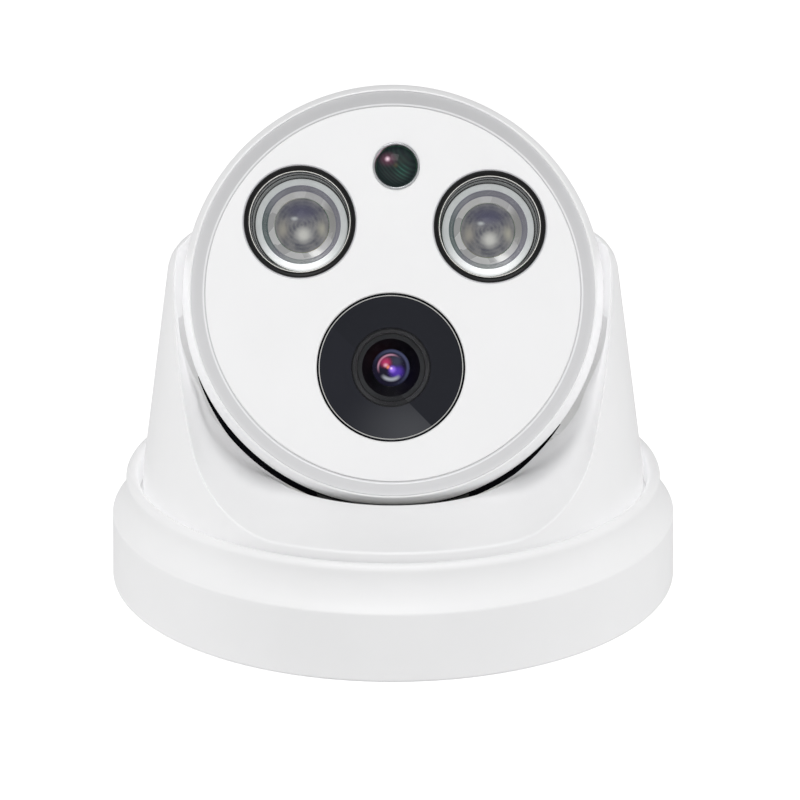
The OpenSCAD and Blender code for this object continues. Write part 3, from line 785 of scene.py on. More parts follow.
def lamp_disc_finish(name, place):
    """Mottled carrier under a lamp's dome, with painted highlights, the bright image of its chips painted as a
    spot of light, and a painted glow.
    """
    made = Finish(name, place, Roughness=0.3, Emission_Strength=0.35)
    mottle = noise(made.tree, made.where, 0.55, 3.0)
    ground = made.mix(made.spread(mottle, 0.0, 1.0, 0.35, 0.65), [0.10, 0.103, 0.13], [0.23, 0.23, 0.235])
    ripples = made.texture("Wave", {"Scale": 0.42, "Distortion": 1.6, "Detail": 2.0}, "Fac",
                           wave_type="RINGS", rings_direction="Z")
    ground = made.mix(made.spread(ripples, 0.0, 0.3, 0.2, 0.9), ground, [0.28, 0.275, 0.26])
    # Painted light: a bright spot for the chips' image below the middle, lighter patches at the sides and a small
    # highlight at the upper left
    made.feed(made.over(
        ground,
        oval(0.0, 2.6, 0.55, 1.0, 1.5, 1.2, [0.10, 0.10, 0.15]),
        oval(-3.6, -1.0, 1.0, 0.6, 0.8, 0.9, [0.36, 0.34, 0.30]),
        oval(3.9, -0.6, 1.0, 0.6, 0.7, 0.8, [0.40, 0.39, 0.33]),
        oval(0.4, -1.9, 1.0, 1.1, 1.3, 1.0, [0.55, 0.55, 0.52]),
        oval(-1.4, 1.2, 0.8, 1.4, 0.45, 0.35, [0.44, 0.46, 0.47])), *PAINTED_GLOW)
    made.relief(mottle, 0.15)
    return made.material


def reflector_finish(name, place):
    """Plated cone of a lamp: grey-violet wall with painted shade at its left, and a pale seat ring with painted
    reflections, brighter panes and a highlight, all with a painted glow.
    """
    made = Finish(name, place, Metallic=0.2, Emission_Strength=0.35)
    # Facet panes: their colour is painted reflection, and they also vary the gloss
    panes = made.texture("Voronoi", {"Scale": 0.28}, "Color")
    tone = add_node(made.tree, "ShaderNodeSeparateColor", {0: panes}).outputs[0]
    # Painted light on the wall: darker at the left, a little lighter at the bottom
    wall = made.over([0.20, 0.20, 0.235],
                     oval(-7.0, -1.5, 1.0, 0.5, 2.5, 1.8, [0.09, 0.12, 0.12]),
                     oval(0.0, -7.0, 0.6, 1.0, 2.0, 1.8, [0.22, 0.24, 0.24]))
    # Painted reflections on the seat: a brighter pane at the upper left, a darker right and a bright highlight at
    # the lower right
    seat = made.over(made.mix(tone, grey(0.31), grey(0.60)),
                     oval(-3.6, 4.6, 1.0, 1.0, 2.4, 0.5, [0.50, 0.50, 0.49]),
                     oval(6.0, 1.5, 1.0, 0.5, 2.0, 1.4, [0.30, 0.30, 0.29]),
                     oval(3.0, -5.3, 0.8, 1.2, 0.9, 0.8, [0.95, 0.95, 0.93]))
    made.feed(made.mix(made.disc(6.5, 0.06), wall, seat), *PAINTED_GLOW)
    made.feed(made.spread(tone, 0.2, 0.35, 0.0, 1.0), "Roughness")
    return made.material


def frost_finish(name, place):
    """Frosted collar of a lamp, with a painted glow that is brightest at its lower side."""
    made = Finish(name, place, Roughness=0.4, Emission_Strength=0.62)
    surface = made.group("moulded", cloud_scale=0.5, grain_scale=6.0)
    ground = made.mix(surface["Cloud"], [0.42, 0.44, 0.44], [0.52, 0.54, 0.54])
    # Painted light: the lower side much lighter, and the whole collar glowing
    made.feed(made.over(ground, oval(0.0, -9.0, 0.75, 1.0, 5.5, 4.0, [0.86, 0.88, 0.88])), *PAINTED_GLOW)
    made.relief(surface["Grain"], 0.02)
    return made.material


def liner_finish(name, place):
    """Black tube liner of a lamp, with a painted highlight on its lower side."""
    made = Finish(name, place, Roughness=0.2)
    surface = made.group("moulded", cloud_scale=0.4, grain_scale=8.0)
    ground = made.mix(surface["Cloud"], [0.015, 0.015, 0.016], grey(0.05))
    # Painted highlight: a grey patch on the lower side
    made.feed(made.over(ground, oval(2.0, -9.5, 0.7, 1.0, 3.4, 3.0, [0.42, 0.42, 0.41])), "Base Color")
    return made.material


def bezel_finish():
    """Grey paint on the bezel's cone, with painted light: lighter towards its outer edge, a bright line at its
    foot as a painted highlight, and a thin darker edge below it.
    """
    made = Finish("Grey bezel paint", HEAD, Roughness=0.4)
    surface = made.group("moulded", cloud_scale=0.05, grain_scale=2.6)
    base = paint("bezel")
    coat = made.mix(surface["Cloud"], shade(base, 1.10), shade(base, 1.16))
    # Painted light by radius: the outer part lighter, a bright painted highlight line at the foot, and a thin
    # darker edge below it
    for radius, soft, amount in ((37.4, 0.9, 1.0), (35.55, 0.08, 1.32), (35.25, 0.05, 0.9)):
        coat = made.mix(made.disc(radius, soft), coat, shade(base, amount))
    made.feed(coat, "Base Color")
    made.relief(surface["Grain"], 0.003)
    return made.material


def barrel_finish(place):
    """Black anodising, with the lens's front turned in rings of grey and deep black."""
    made = Finish("Black anodising", place, Roughness=0.35)
    surface = made.group("moulded", cloud_scale=0.4, grain_scale=9.0)
    rings = made.mix(surface["Cloud"], [0.052, 0.053, 0.057], [0.066, 0.067, 0.072])
    for radius, tint in ((6.46, grey(0.003)), (6.30, [0.032, 0.034, 0.038]),
                         (5.45, [0.001, 0.001, 0.002])):
        rings = made.mix(made.disc(radius, 0.04), rings, tint)
    made.feed(rings, "Base Color")
    made.relief(surface["Grain"], 0.004)
    return made.material


def floor_finish():
    """Pale seamless paper, which the camera sees as plain white."""
    made = Finish("Pale paper", Roughness=0.9, Emission_Strength=0.60)
    surface = made.group("moulded", cloud_scale=3.0, grain_scale=400.0)
    base = paint("floor")
    made.feed(made.mix(surface["Cloud"], shade(base, 0.995), shade(base, 1.005)), "Base Color")
    seen = add_node(made.tree, "ShaderNodeLightPath").outputs["Is Camera Ray"]
    made.feed(made.mix(seen, grey(0.0), grey(1.0)), "Emission Color")
    return made.material


def lamp_finishes():
    """The painted finishes of the two lamps, by name and side."""
    made = {}
    for side, x in SIDES.items():
        place = at(x * LAMP_X, LAMP_Y)
        for key, make, name in (
                ("disc_", lamp_disc_finish, "Lamp carrier "), ("cone_", reflector_finish, "Lamp reflector "),
                ("frost_", frost_finish, "Frosted collar "), ("liner_", liner_finish, "Lamp liner ")):
            made[key + side] = make(name + side, place)
    return made


def make_finishes():
    """All the materials by the record's slot names, and a few of the finished pieces' own."""
    black = paint("black")
    return {
        "shell_white": plastic("Satin white", paint("shell"), 0.4, tone=0.012, IOR=1.45),
        "chassis_plastic": plastic("Off-white moulding", paint("inside"), 0.55, depth=0.01),
        "foam": plastic("Closed-cell foam", [0.03, 0.03, 0.032], 0.9, grain=1500.0, depth=0.08, tone=0.2),
        "rubber_black": plastic("Black rubber", grey(0.018), 0.7, depth=0.01, tone=0.15),
        "steel": metal("Zinc-plated steel", [0.55, 0.57, 0.60], 0.3),
        "bezel_grey": bezel_finish(),
        "window_glass": window_finish(at(0, LENS_Y)),
        "plastic_black": plastic("Black moulding", black, 0.32, depth=0.006, tone=0.1),
        "lamp_clear": clear("Clear lamp cap", grey(0.02), 0.05, 1.35),
        "collar_frosted": plastic("Frosted collar", [0.62, 0.65, 0.64], 0.45, cloud=160.0, tone=0.08),
        "reflector_silver": metal("Bright plating", [0.72, 0.73, 0.75], 0.18),
        "lamp_chip": metal("Gold-plated carrier", [0.75, 0.58, 0.25], 0.3),
        "eye_glass": eye_finish(at(0, EYE_Y)),
        "cell_ceramic": plastic("Sensing ceramic", [0.42, 0.17, 0.08], 0.5, cloud=700.0, tone=0.35),
        "board_green": board_finish(),
        "aluminium_bare": metal("Bare aluminium", [0.66, 0.67, 0.69], 0.34),
        "sensor_chip": plastic("Sensor package", [0.03, 0.05, 0.07], 0.1, cloud=500.0, tone=0.4),
        "copper_coil": winding_finish(),
        "chip_black": plastic("Chip package", [0.018, 0.018, 0.02], 0.5, depth=0.02, tone=0.15),
        "socket_ivory": plastic("Ivory nylon", [0.68, 0.62, 0.48], 0.42, tone=0.05),
        "ribbon_white": ribbon_finish(),
        "barrel_black": barrel_finish(at(0, LENS_Y)),
        "objective_glass": lens_finish(at(0, LENS_Y)),
        "cut_glass": clear("Infrared-cut glass", [0.10, 0.45, 0.45], 0.5),
        "clear_glass": clear("Plain optical glass", [0.75, 0.8, 0.8], 0.3),
        **lamp_finishes(),
        "rim_black": plastic("Black rim", shade(black, 0.5), 0.35, depth=0.002, tone=0.1, IOR=1.3),
        # Pale line that is a painted highlight, for the edge of each lamp's cap
        "trim_pale": plastic("Pale trim line", [0.82, 0.81, 0.77], 0.3, depth=0.001),
        "hood_black": plastic("Hood black", [0.003, 0.003, 0.004], 0.9, depth=0.001, tone=0.1, IOR=1.05),
        # Pale ring lightened as a painted highlight, for the window's edge
        "bright_rim": plastic("Ground bright edge", [0.52, 0.52, 0.50], 0.35, depth=0.001, tone=0.06),
        # Grey ring that is painted shade, for the chamfer round each lamp
        "halo_grey": plastic("Grey edge line", [0.60, 0.60, 0.62], 0.45, depth=0.002),
    }


# --- Places on the face ---

def face_place(node):
    """Middle of a node in the head's own frame, in millimetres."""
    low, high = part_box(node)
    middle = HEAD.inverted() @ ((low + high) / 2)
    return middle / MM


SIDES = {"left": -1, "right": 1}
LAMP_X = abs(face_place("lamp_lens_right").x)
LAMP_Y = face_place("lamp_lens_right").y
LENS_Y = face_place("lens_window").y
EYE_Y = face_place("eye_dome").y
PLATE_BACK = 8.9
# Far centre and size of a huge disc whose edge is the straight upper edge of the window's painted reflection
WEDGE_FAR = 2000.0
WEDGE_X = 1.4 - 0.691 * WEDGE_FAR
WEDGE_Y = -4.2 - 0.723 * WEDGE_FAR
BOARD_TOP = -2.5
BOARD_Z = -19.0
CARRIER_R, CARRIER_TOP = 5.15, -1.9
# Sockets fed by one colour, so that a surface also glows in it: a painted glow that makes up for the shade deep
# inside the lamps
PAINTED_GLOW = ("Base Color", "Emission Color")
TREES = {}
EFFECTS = {}
FINISH = {}


def prepare():
    """Builds the shared trees, effects and materials."""
    TREES.update(turned=turned_tree(), spots=spots_tree(), ring=ring_tree())
    EFFECTS.update(moulded=moulded_group(), brushed=brushed_group(), glint=glint_group(),
                   crescent=crescent_group())
    FINISH.update(make_finishes())
    for part in frame["record"]["subparts"]:
        node = frame["nodes"][part["node"]]
        for slot in node.material_slots:
            slot.material = FINISH[part["material_slot"]]


# --- Base ---

# Places of the base's bosses, bead, hollow, plug and lock screw: radii, heights and turns
BOSS_TURNS = (45, 135, 225, 315)
BOSS_AT = 49.3
BEAD_IN, BEAD_Z = 4.4, 19.95
HOLLOW_Z = 19.5
PLUG_Z, PLUG_R = 6.8, 4.5
LOCK_Z, LOCK_TURN, LOCK_R = 17.7, 125, 1.5


def base_outline():
    """Section of the base ring: drafted wall, hollow shoulder, bead and inner lip."""
    radius, height = size("base_radius"), size("wall_height")
    draft = size("wall_draft") / height
    hollow, bead = size("shoulder_radius"), size("bead_radius")
    bead_x = radius - BEAD_IN
    bore, step, lip = bead_x - bead, radius - 3.7, radius - 3.1
    hollow_x = bead_x + bead + hollow
    wall_x = radius - draft * height
    meet = 180 + math.degrees(math.acos((hollow_x - wall_x) / hollow))
    shoulder = arc(hollow_x, HOLLOW_Z, hollow, meet, 180, 22)
    top = arc(bead_x, BEAD_Z, bead, 0, 180, 16)
    start = shoulder[0]
    return rounded([
        (lip, 0.0, 0.3), (radius, 0.0, 0.45), (radius - draft * 6, 6.0, 0.0),
        (start[0], start[1] - 0.1, size("wall_round"))] + shoulder[3:] + top + [
        (bore, 15.8, 0.3), (step, 15.8, 0.0), (step, 12.4, 0.0), (lip, 12.4, 0.0)])


def build_base():
    """Base ring with its plug and screw holes, the plate's ribs, the grommet and the bosses."""
    ring = turned("base_shell", base_outline(), 224)
    plug = [(0, 44), (PLUG_R, 44), (PLUG_R, 54.4), (PLUG_R + 0.5, 56), (0, 56)]
    plug_place = Matrix.Translation((0, 0, PLUG_Z * MM)) @ Matrix.Rotation(-math.pi / 2, 4, "X")
    lock = [(0, 48), (LOCK_R, 48), (LOCK_R, 52.0), (LOCK_R + 0.6, 54), (0, 54)]
    lock_place = (Matrix.Translation((0, 0, LOCK_Z * MM)) @ Matrix.Rotation(math.radians(LOCK_TURN), 4, "Z")
                  @ Matrix.Rotation(math.pi / 2, 4, "Y"))
    cut(ring, [turned("plug_hole", plug, 64, plug_place), turned("lock_hole", lock, 40, lock_place)])
    settle(ring, "base", "shell_white", "base_ring")
    post = turned("base_bosses", rounded([(1.1, 3), (2.9, 3), (2.9, 11.9, 0.3), (1.1, 11.9, 0.3)]), 40)
    settle(ringed(post, len(BOSS_TURNS), BOSS_AT, BOSS_TURNS[0]), "base", "shell_white")
    rib = block("base_ribs", 26, 1.2, 2.6, 0.3, low=2.9)
    settle(ringed(rib, 12, 29.5, 15), "base", "chassis_plastic")
    sleeve = rounded([(3.5, 0, 0.4), (6.2, 0, 0.0), (6.2, 0.6, 0.0), (7.2, 0.6, 0.0), (7.2, 0, 0.0), (8, 0),
                      (8, 5.0), (10.5, 5.0, 0.2), (10.5, 6.5, 0.6), (3.5, 6.5, 0.4)])
    settle(turned("grommet_sleeve", sleeve, 96), "base", "rubber_black", "cable_grommet")


# --- Turret ---

# Heights and radii of the turret; a corner or a side of the scoop is (across, height, radius)
FLANGE_Z, FLANGE_TOP, FLANGE_IN = 13.2, 15.5, 43.5
NECK_TOP = 20.9
LEDGE_Z = 50.0
SOCKET_GAP = 0.9
SCOOP_GAP = 1.6
FLOOR_Z = 22.3
CORNER = (20.7, 38.8, 16.5)
SIDE = (-84.3, 66.0, 125.0)
SIDE_ANGLE = math.degrees(math.atan2(CORNER[1] - SIDE[1], CORNER[0] - SIDE[0]))
EASE = 7.0
NOSE = 3.6
NECK_IN = 6.5
CRADLE_AT = 40.2
CRADLE_TURNS = (90, 210, 330)


def crossing(a, b, beyond):
    """The last point on the way from a to b before a test of (radius, height) comes true."""
    low, high = 0.0, 1.0
    for _ in range(30):
        middle = (low + high) / 2
        low, high = (low, middle) if beyond(*between(a, b, middle)) else (middle, high)
    return between(a, b, low)


class Turret:
    """Sections of the turret at each angle from the front, as (radius, height) points."""

    def __init__(self):
        self.neck = size("base_radius") - NECK_IN
        self.lean = bpy.context.scene.dome_sizes.turret_lean
        self.top = size("turret_height")
        self.wall = size("turret_wall")
        self.skin = size("scoop_wall")
        self.socket = size("ball_radius") + SOCKET_GAP
        height = self.top - NOSE
        self.nose = (self.cone(height) - NOSE / math.cos(self.lean), height, NOSE)
        round_part = arc(*self.nose, math.degrees(self.lean), 90, 40)
        self.outside = resampled([(self.neck, NECK_TOP), round_part[0]], 80)[:-1] + round_part

    def cone(self, z):
        """Radius of the plain cone at a height."""
        return self.neck - (z - NECK_TOP) * math.tan(self.lean)

    def radius(self, z):
        """Radius of the outside at a height."""
        if z <= NECK_TOP:
            return self.neck
        if z <= self.nose[1] + self.nose[2] * math.sin(self.lean):
            return self.cone(z)
        rise = min(self.nose[2], z - self.nose[1])
        return self.nose[0] + math.sqrt(self.nose[2] ** 2 - rise ** 2)

    def inside(self, z):
        """Radius of the wall's inner side at a height."""
        return self.neck - self.wall if z <= NECK_TOP else self.cone(z) - self.wall

    def ease(self, phi):
        """One over the front half, and eased to nothing behind it."""
        left = min(1.0, max(0.0, 1 - (abs(math.degrees(phi)) - 90) / EASE))
        return left * left * (3 - 2 * left)

    def ball(self, phi, z):
        """Radius of the socket at an angle and a height."""
        socket = self.socket + (SCOOP_GAP - SOCKET_GAP) * self.ease(phi)
        return math.sqrt(max(0.0, socket ** 2 - (z - BALL_Z) ** 2))

    def width(self, z, margin=0.0):
        """Half-width of the scoop at a height, widened by a margin; nothing below its floor."""
        if z <= FLOOR_Z - margin:
            return 0.0
        x, height, bend = CORNER
        if z < height + (bend + margin) * math.sin(math.radians(SIDE_ANGLE)):
            return x + math.sqrt(max(0.0, (bend + margin) ** 2 - (height - z) ** 2))
        x, height, bend = SIDE
        return x + math.sqrt((bend + margin) ** 2 - (height - z) ** 2)

    def bore(self, phi, z, margin=0.0):
        """Radius at which the wall begins at an angle and a height, outside the ball and the scoop."""
        ball, wide = self.ball(phi, z), self.width(z, margin)
        if abs(math.degrees(phi)) <= 90:
            across = max(1e-6, abs(math.sin(phi)))
            return max(ball, wide / across) if wide else ball
        return ball + (max(ball, wide) - ball) * self.ease(phi)

    def outer_line(self, phi):
        """The outside from the neck up to the scoop's or the socket's edge."""
        line = [self.outside[0]]
        for a, b in zip(self.outside, self.outside[1:]):
            if b[0] < self.bore(phi, b[1]):
                return line + [crossing(a, b, lambda r, z: r < self.bore(phi, z))]
            line.append(b)
        return line

    def tunnel_line(self, phi, start, margin=0.0):
        """The scoop's surface from its edge down to its floor and in to the socket's hole."""
        floor = FLOOR_Z - margin
        corner = arc(*CORNER[:2], CORNER[2] + margin, SIDE_ANGLE, -90, 60)
        side = arc(*SIDE[:2], SIDE[2] + margin, 0, SIDE_ANGLE, 90)
        heights = [z for x, z in side + corner if z < start[1] - 1e-4]
        line = [start]
        if start[1] > floor + 0.01:
            line += [(self.bore(phi, max(z, floor + 1e-5), margin), z) for z in heights]
        line.append((self.ball(phi, floor), floor))
        return line

    def edge_reach(self, outer):
        """How far the rounding of the scoop's edge runs, given the outside below the edge."""
        return min(size("scoop_edge"), 0.42 * math.dist(outer[0], outer[-1]))

    def section(self, phi):
        """Closed section at an angle: its shared front part, the scoop's skin, and the inner wall."""
        outer = self.outer_line(phi)
        edge = outer[-1]
        front = abs(math.degrees(phi)) <= 90
        if front:
            tunnel = self.tunnel_line(phi, edge)
        else:
            rows = [edge[1] + (LEDGE_Z - edge[1]) * i / 60 for i in range(61)]
            tunnel = [edge] + [(self.bore(phi, z), z) for z in rows[1:]]
        reach = self.edge_reach(outer)
        climb = shortened(outer[::-1], reach)[::-1]
        inward = shortened(tunnel, reach)
        bend = []
        for t in (i / 6 for i in range(1, 6)):
            bend.append(tuple((1 - t) ** 2 * a + 2 * t * (1 - t) * b + t * t * c
                              for a, b, c in zip(climb[-1], edge, inward[0])))
        lead = [(self.neck, FLANGE_TOP), (self.neck, 18.0)] + resampled(climb, 30) + bend
        if front:
            first, rest = self.split_tunnel(inward)
            return lead + first, rest + self.skin_line(phi), self.wall_line(phi)
        return lead + resampled(inward, 20), None, self.wall_line(phi)

    def split_tunnel(self, line):
        """Splits the tunnel's line so that the side columns have a point at the ledge's height."""
        points = resampled(line, 400)
        k = max(1, min(399, round(400 * self.share)))
        return resampled(points[:k + 1], 20), resampled(points[k:], 26)[1:]

    def skin_line(self, phi):
        """Back of the scoop's skin, from the socket's hole out to the inner wall."""
        low = FLOOR_Z - self.skin
        hole = resampled([(self.ball(phi, FLOOR_Z), FLOOR_Z), (self.ball(phi, low), low)], 2)[1:]
        return hole + resampled(self.under_line(phi), 22)[1:-1]

    def under_line(self, phi):
        """The skin's back from the socket's hole to where it meets the inner wall."""
        floor = FLOOR_Z - self.skin
        line = self.tunnel_line(phi, (self.bore(phi, LEDGE_Z - 0.01, self.skin), LEDGE_Z - 0.01),
                                self.skin)[::-1]
        out = [line[0]]
        for a, b in zip(line, line[1:]):
            if b[0] >= self.inside(b[1]):
                return out + [crossing(a, b, lambda r, z: r >= self.inside(z))]
            out.append(b)
        return out + [(self.inside(floor), floor)]

    def wall_line(self, phi):
        """Inner wall from where the skin or the ledge meets it down to the flange, and the flange."""
        turn = abs(math.degrees(phi))
        top = self.under_line(phi)[-1][1] if turn <= 90 else self.side_top
        rows = [top + (FLANGE_TOP - top) * i / 10 for i in range(11)]
        flange = size("base_radius") - 4
        return [(self.inside(z), z) for z in rows] + [
            (FLANGE_IN, FLANGE_TOP), (FLANGE_IN, FLANGE_Z), (flange, FLANGE_Z), (flange, FLANGE_TOP)]

    def measure(self):
        """Notes where the ledge's height falls along the side column's tunnel."""
        side = math.pi / 2
        outer = self.outer_line(side)
        tunnel = self.tunnel_line(side, outer[-1])
        line = resampled(shortened(tunnel, self.edge_reach(outer)), 400)
        self.share = min(range(401), key=lambda i: abs(line[i][1] - LEDGE_Z)) / 400
        self.side_top = self.under_line(side)[-1][1]

    def angles(self):
        """Angles of the front columns, spaced evenly along the scoop's edge, then up to the side."""
        outline = [(CORNER[0] * i / 16, FLOOR_Z) for i in range(17)]
        outline += arc(*CORNER, -90, SIDE_ANGLE, 20)[1:] + arc(*SIDE, SIDE_ANGLE, -1.0, 26)[1:]
        half = [math.asin(min(1.0, x / self.radius(z))) for x, z in outline]
        last = half[-1]
        half += [last + (math.pi / 2 - last) * i / 8 for i in range(1, 9)]
        return [-a for a in half[:0:-1]] + half


def turret_mesh():
    """The turret as one closed skin of quads: front columns along the scoop, rear columns evenly."""
    shape = Turret()
    shape.measure()
    front = shape.angles()
    back = [math.pi / 2 + math.pi * i / 120 for i in range(1, 120)]
    points, faces, columns = [], [], []

    def place(phi, line):
        """Adds a line of points at an angle and gives their numbers."""
        start = len(points)
        for r, z in line:
            points.append(Vector((r * math.sin(phi), -r * math.cos(phi), z)) * MM)
        return list(range(start, len(points)))

    for phi in front:
        lead, skin, wall = shape.section(phi)
        ledge = [(shape.inside(LEDGE_Z), LEDGE_Z)]
        side = abs(abs(phi) - math.pi / 2) < 1e-6
        columns.append((place(phi, lead), place(phi, skin), place(phi, wall),
                        place(phi, ledge) if side else []))
    rear = [columns[-1]]
    for phi in back:
        lead, _, wall = shape.section(phi if phi <= math.pi else phi - math.tau)
        rear.append((place(phi, lead), [], place(phi, wall), place(phi, [(shape.inside(LEDGE_Z), LEDGE_Z)])))
    rear.append(columns[0])

    def bridge(loops):
        """Joins neighbouring closed loops by quads."""
        for one, two in zip(loops, loops[1:]):
            count = len(one)
            for i in range(count):
                k = (i + 1) % count
                faces.append((one[i], one[k], two[k], two[i]))

    bridge([lead + skin + wall for lead, skin, wall, _ in columns])
    bridge([lead + ledge + wall for lead, _, wall, ledge in rear])
    for lead, skin, wall, ledge in (columns[0], columns[-1]):
        faces.append([lead[-1]] + skin + [wall[0]] + ledge)
    return new_object("turret_shell", points, faces)


# Turns of the shade strip's ends round the face's axis, its heights, its thickness and its taper; the strip is
# painted shade in the gap under the ball
SHADE_STRIP_START, SHADE_STRIP_END, SHADE_STRIP_STEPS = 204.0, 324.0, 72
SHADE_STRIP_TOP, SHADE_STRIP_FOOT = 0.6, -1.4
SHADE_STRIP_THIN, SHADE_STRIP_THICK, SHADE_STRIP_TAPER = 0.06, 1.0, 18.0


def shade_strip_mesh():
    """Dead-black strip along the lower side of the ball, thinner towards its two ends: painted shade in the gap
    between the ball and the scoop.
    """
    inner = size("ball_radius") + 0.1
    points, faces = [], []
    for i in range(SHADE_STRIP_STEPS + 1):
        turn = SHADE_STRIP_START + (SHADE_STRIP_END - SHADE_STRIP_START) * i / SHADE_STRIP_STEPS
        swell = min(1.0, (turn - SHADE_STRIP_START) / SHADE_STRIP_TAPER, (SHADE_STRIP_END - turn) / SHADE_STRIP_TAPER)
        outer = inner + SHADE_STRIP_THIN + (SHADE_STRIP_THICK - SHADE_STRIP_THIN) * swell
        a = math.radians(turn)
        for r, z in ((inner, SHADE_STRIP_TOP), (outer, SHADE_STRIP_TOP), (outer, SHADE_STRIP_FOOT), (inner, SHADE_STRIP_FOOT)):
            points.append(HEAD @ (Vector((r * math.cos(a), r * math.sin(a), z)) * MM))
    for i in range(SHADE_STRIP_STEPS):
        for k in range(4):
            a, b = 4 * i + k, 4 * i + (k + 1) % 4
            faces.append((a, b, b + 4, a + 4))
    last = 4 * SHADE_STRIP_STEPS
    faces += [(0, 1, 2, 3), (last + 3, last + 2, last + 1, last)]
    return new_object("ball_wiper", points, faces)


def build_turret():
    """Turret housing with its scoop, the black strip of painted shade under the ball, and the bosses that the
    cradle is screwed to.
    """
    # Dead-black strip in the gap under the ball: painted shade
    settle(tidied(shade_strip_mesh()), "turret", "rubber_black", finish="hood_black")
    settle(tidied(turret_mesh()), "turret", "shell_white", "turret_housing")
    post = rounded([(1.1, 15.6), (3.2, 15.6), (3.2, 20.3, 0.3), (1.1, 20.3, 0.3)])
    boss = turned("cradle_bosses", post, 40)
    web = block("boss_web", 4.6, 2.2, 4.2, 0.2, Matrix.Translation((4.9 * MM, 0, 0)), low=15.8)
    bosses = ringed(joined([boss, web]), len(CRADLE_TURNS), CRADLE_AT, CRADLE_TURNS[0])
    settle(bosses, "turret", "shell_white")


# --- Ball and head shells ---

SEAM_Z = -6.0


def sphere_arc(radius, low, high, steps):
    """Points on a sphere's outline between two heights."""
    a, b = (math.degrees(math.asin(max(-1.0, min(1.0, z / radius)))) for z in (low, high))
    return arc(0, 0, radius, a, b, steps)


TAIL_R = 6.0
LIP = 0.3


def build_ball():
    """Rear half of the ball, with a small step at the seam and a rounded cable hole."""
    radius = size("ball_radius")
    inner = radius - size("shell_wall")
    seam = SEAM_Z - 0.2
    out = sphere_arc(radius, -math.sqrt(radius ** 2 - TAIL_R ** 2), seam, 34)
    back = sphere_arc(inner, seam, -math.sqrt(inner ** 2 - TAIL_R ** 2), 30)
    outline = [out[0] + (0.5,)] + out[2:-1] + [out[-1] + (0.3,), back[0]] + back[1:]
    settle(turned("ball_back", rounded(outline), place=HEAD), "ball", "shell_white", "rear_shell")


def build_face():
    """Front half of the ball, the grey bezel ring, and the face plate with its openings."""
    radius, cut_z, top = size("ball_radius"), size("face_cut"), size("face_top")
    inner = radius - size("shell_wall")
    rim = math.sqrt(radius ** 2 - cut_z ** 2)
    low = PLATE_BACK - 1.9
    out = sphere_arc(radius, SEAM_Z, cut_z, 15)
    back = sphere_arc(inner, low, SEAM_Z, 12)
    outline = [out[0] + (0.3,)] + out[1:-1] + [
        out[-1] + (size("edge"),), (rim - LIP, cut_z, 0.08), (rim - LIP, PLATE_BACK),
        (rim - 4.5, PLATE_BACK), (rim - 4.5, low)] + back
    settle(turned("ball_front", rounded(outline), 224, HEAD), "head", "shell_white", "front_shell")

    foot = rim - 2.97
    bevel = rounded([(foot, PLATE_BACK), (rim - LIP, PLATE_BACK), (rim - LIP - 0.02, cut_z - 0.05, 0.12),
                     (foot + 0.4, top - 0.1, 0.15), (foot, top - 0.1, 0.1)])
    settle(turned("bezel_cone", bevel, 224, HEAD), "head", "bezel_grey", "bezel_ring")

    face = rim - 3.0
    disc = rounded([(0, PLATE_BACK), (face, PLATE_BACK), (face, top, 0.14), (0, top)])
    plate = turned("face_disc", disc, 224)
    lamp, pane = size("lamp_radius"), size("window_radius") + 0.25
    cutters = []
    for x, y, r, flare in ((-LAMP_X, LAMP_Y, lamp, 0.3), (LAMP_X, LAMP_Y, lamp, 0.3),
                           (0, LENS_Y, pane, 0.28), (0, EYE_Y, 4.4, 0.12)):
        hole = [(0, PLATE_BACK - 1), (r, PLATE_BACK - 1), (r, top - flare),
                (r + flare * 0.4, top - flare * 0.4), (r + flare * 1.3, top + 0.2), (0, top + 0.2)]
        cutters.append(turned("hole", hole, 128, Matrix.Translation(Vector((x, y, 0)) * MM)))
    cut(plate, cutters)
    plate.data.transform(HEAD)
    settle(plate, "head", "shell_white", "face_plate")


# --- Window, lamps and sensor ---

def build_window():
    """Smoked window, a pale ring at its edge lightened as a painted highlight, and the hood behind it."""
    r, top = size("window_radius"), size("face_top")
    place = at(0, LENS_Y)
    pane = rounded([(0, top - 1.4), (r, top - 1.4, 0.1), (r, top - 0.35), (r - 0.35, top - 0.35),
                    (r - 0.35, top, 0.03), (0, top)])
    settle(turned("window_pane", pane, 160, place), "head", "window_glass", "lens_window")
    # Pale ring at the window's edge: a painted highlight
    edge = rounded([(r - 0.32, top - 0.3), (r - 0.17, top - 0.3), (r - 0.17, top - 0.1, 0.04),
                    (r - 0.22, top + 0.01, 0.02), (r - 0.32, top, 0.02)])
    settle(turned("window_edge", edge, 160, place), "head", "reflector_silver", finish="bright_rim")
    hood = rounded([(6.6, -1, 0.2), (12.6, -1, 0.2), (12.6, 8), (14.6, 8), (14.6, PLATE_BACK, 0.2),
                    (11.8, PLATE_BACK, 0.2), (11.8, 0.2), (6.6, 0.2, 0.2)])
    settle(turned("window_hood", hood, 128, place), "head", "plastic_black", "lens_hood",
           finish="hood_black")


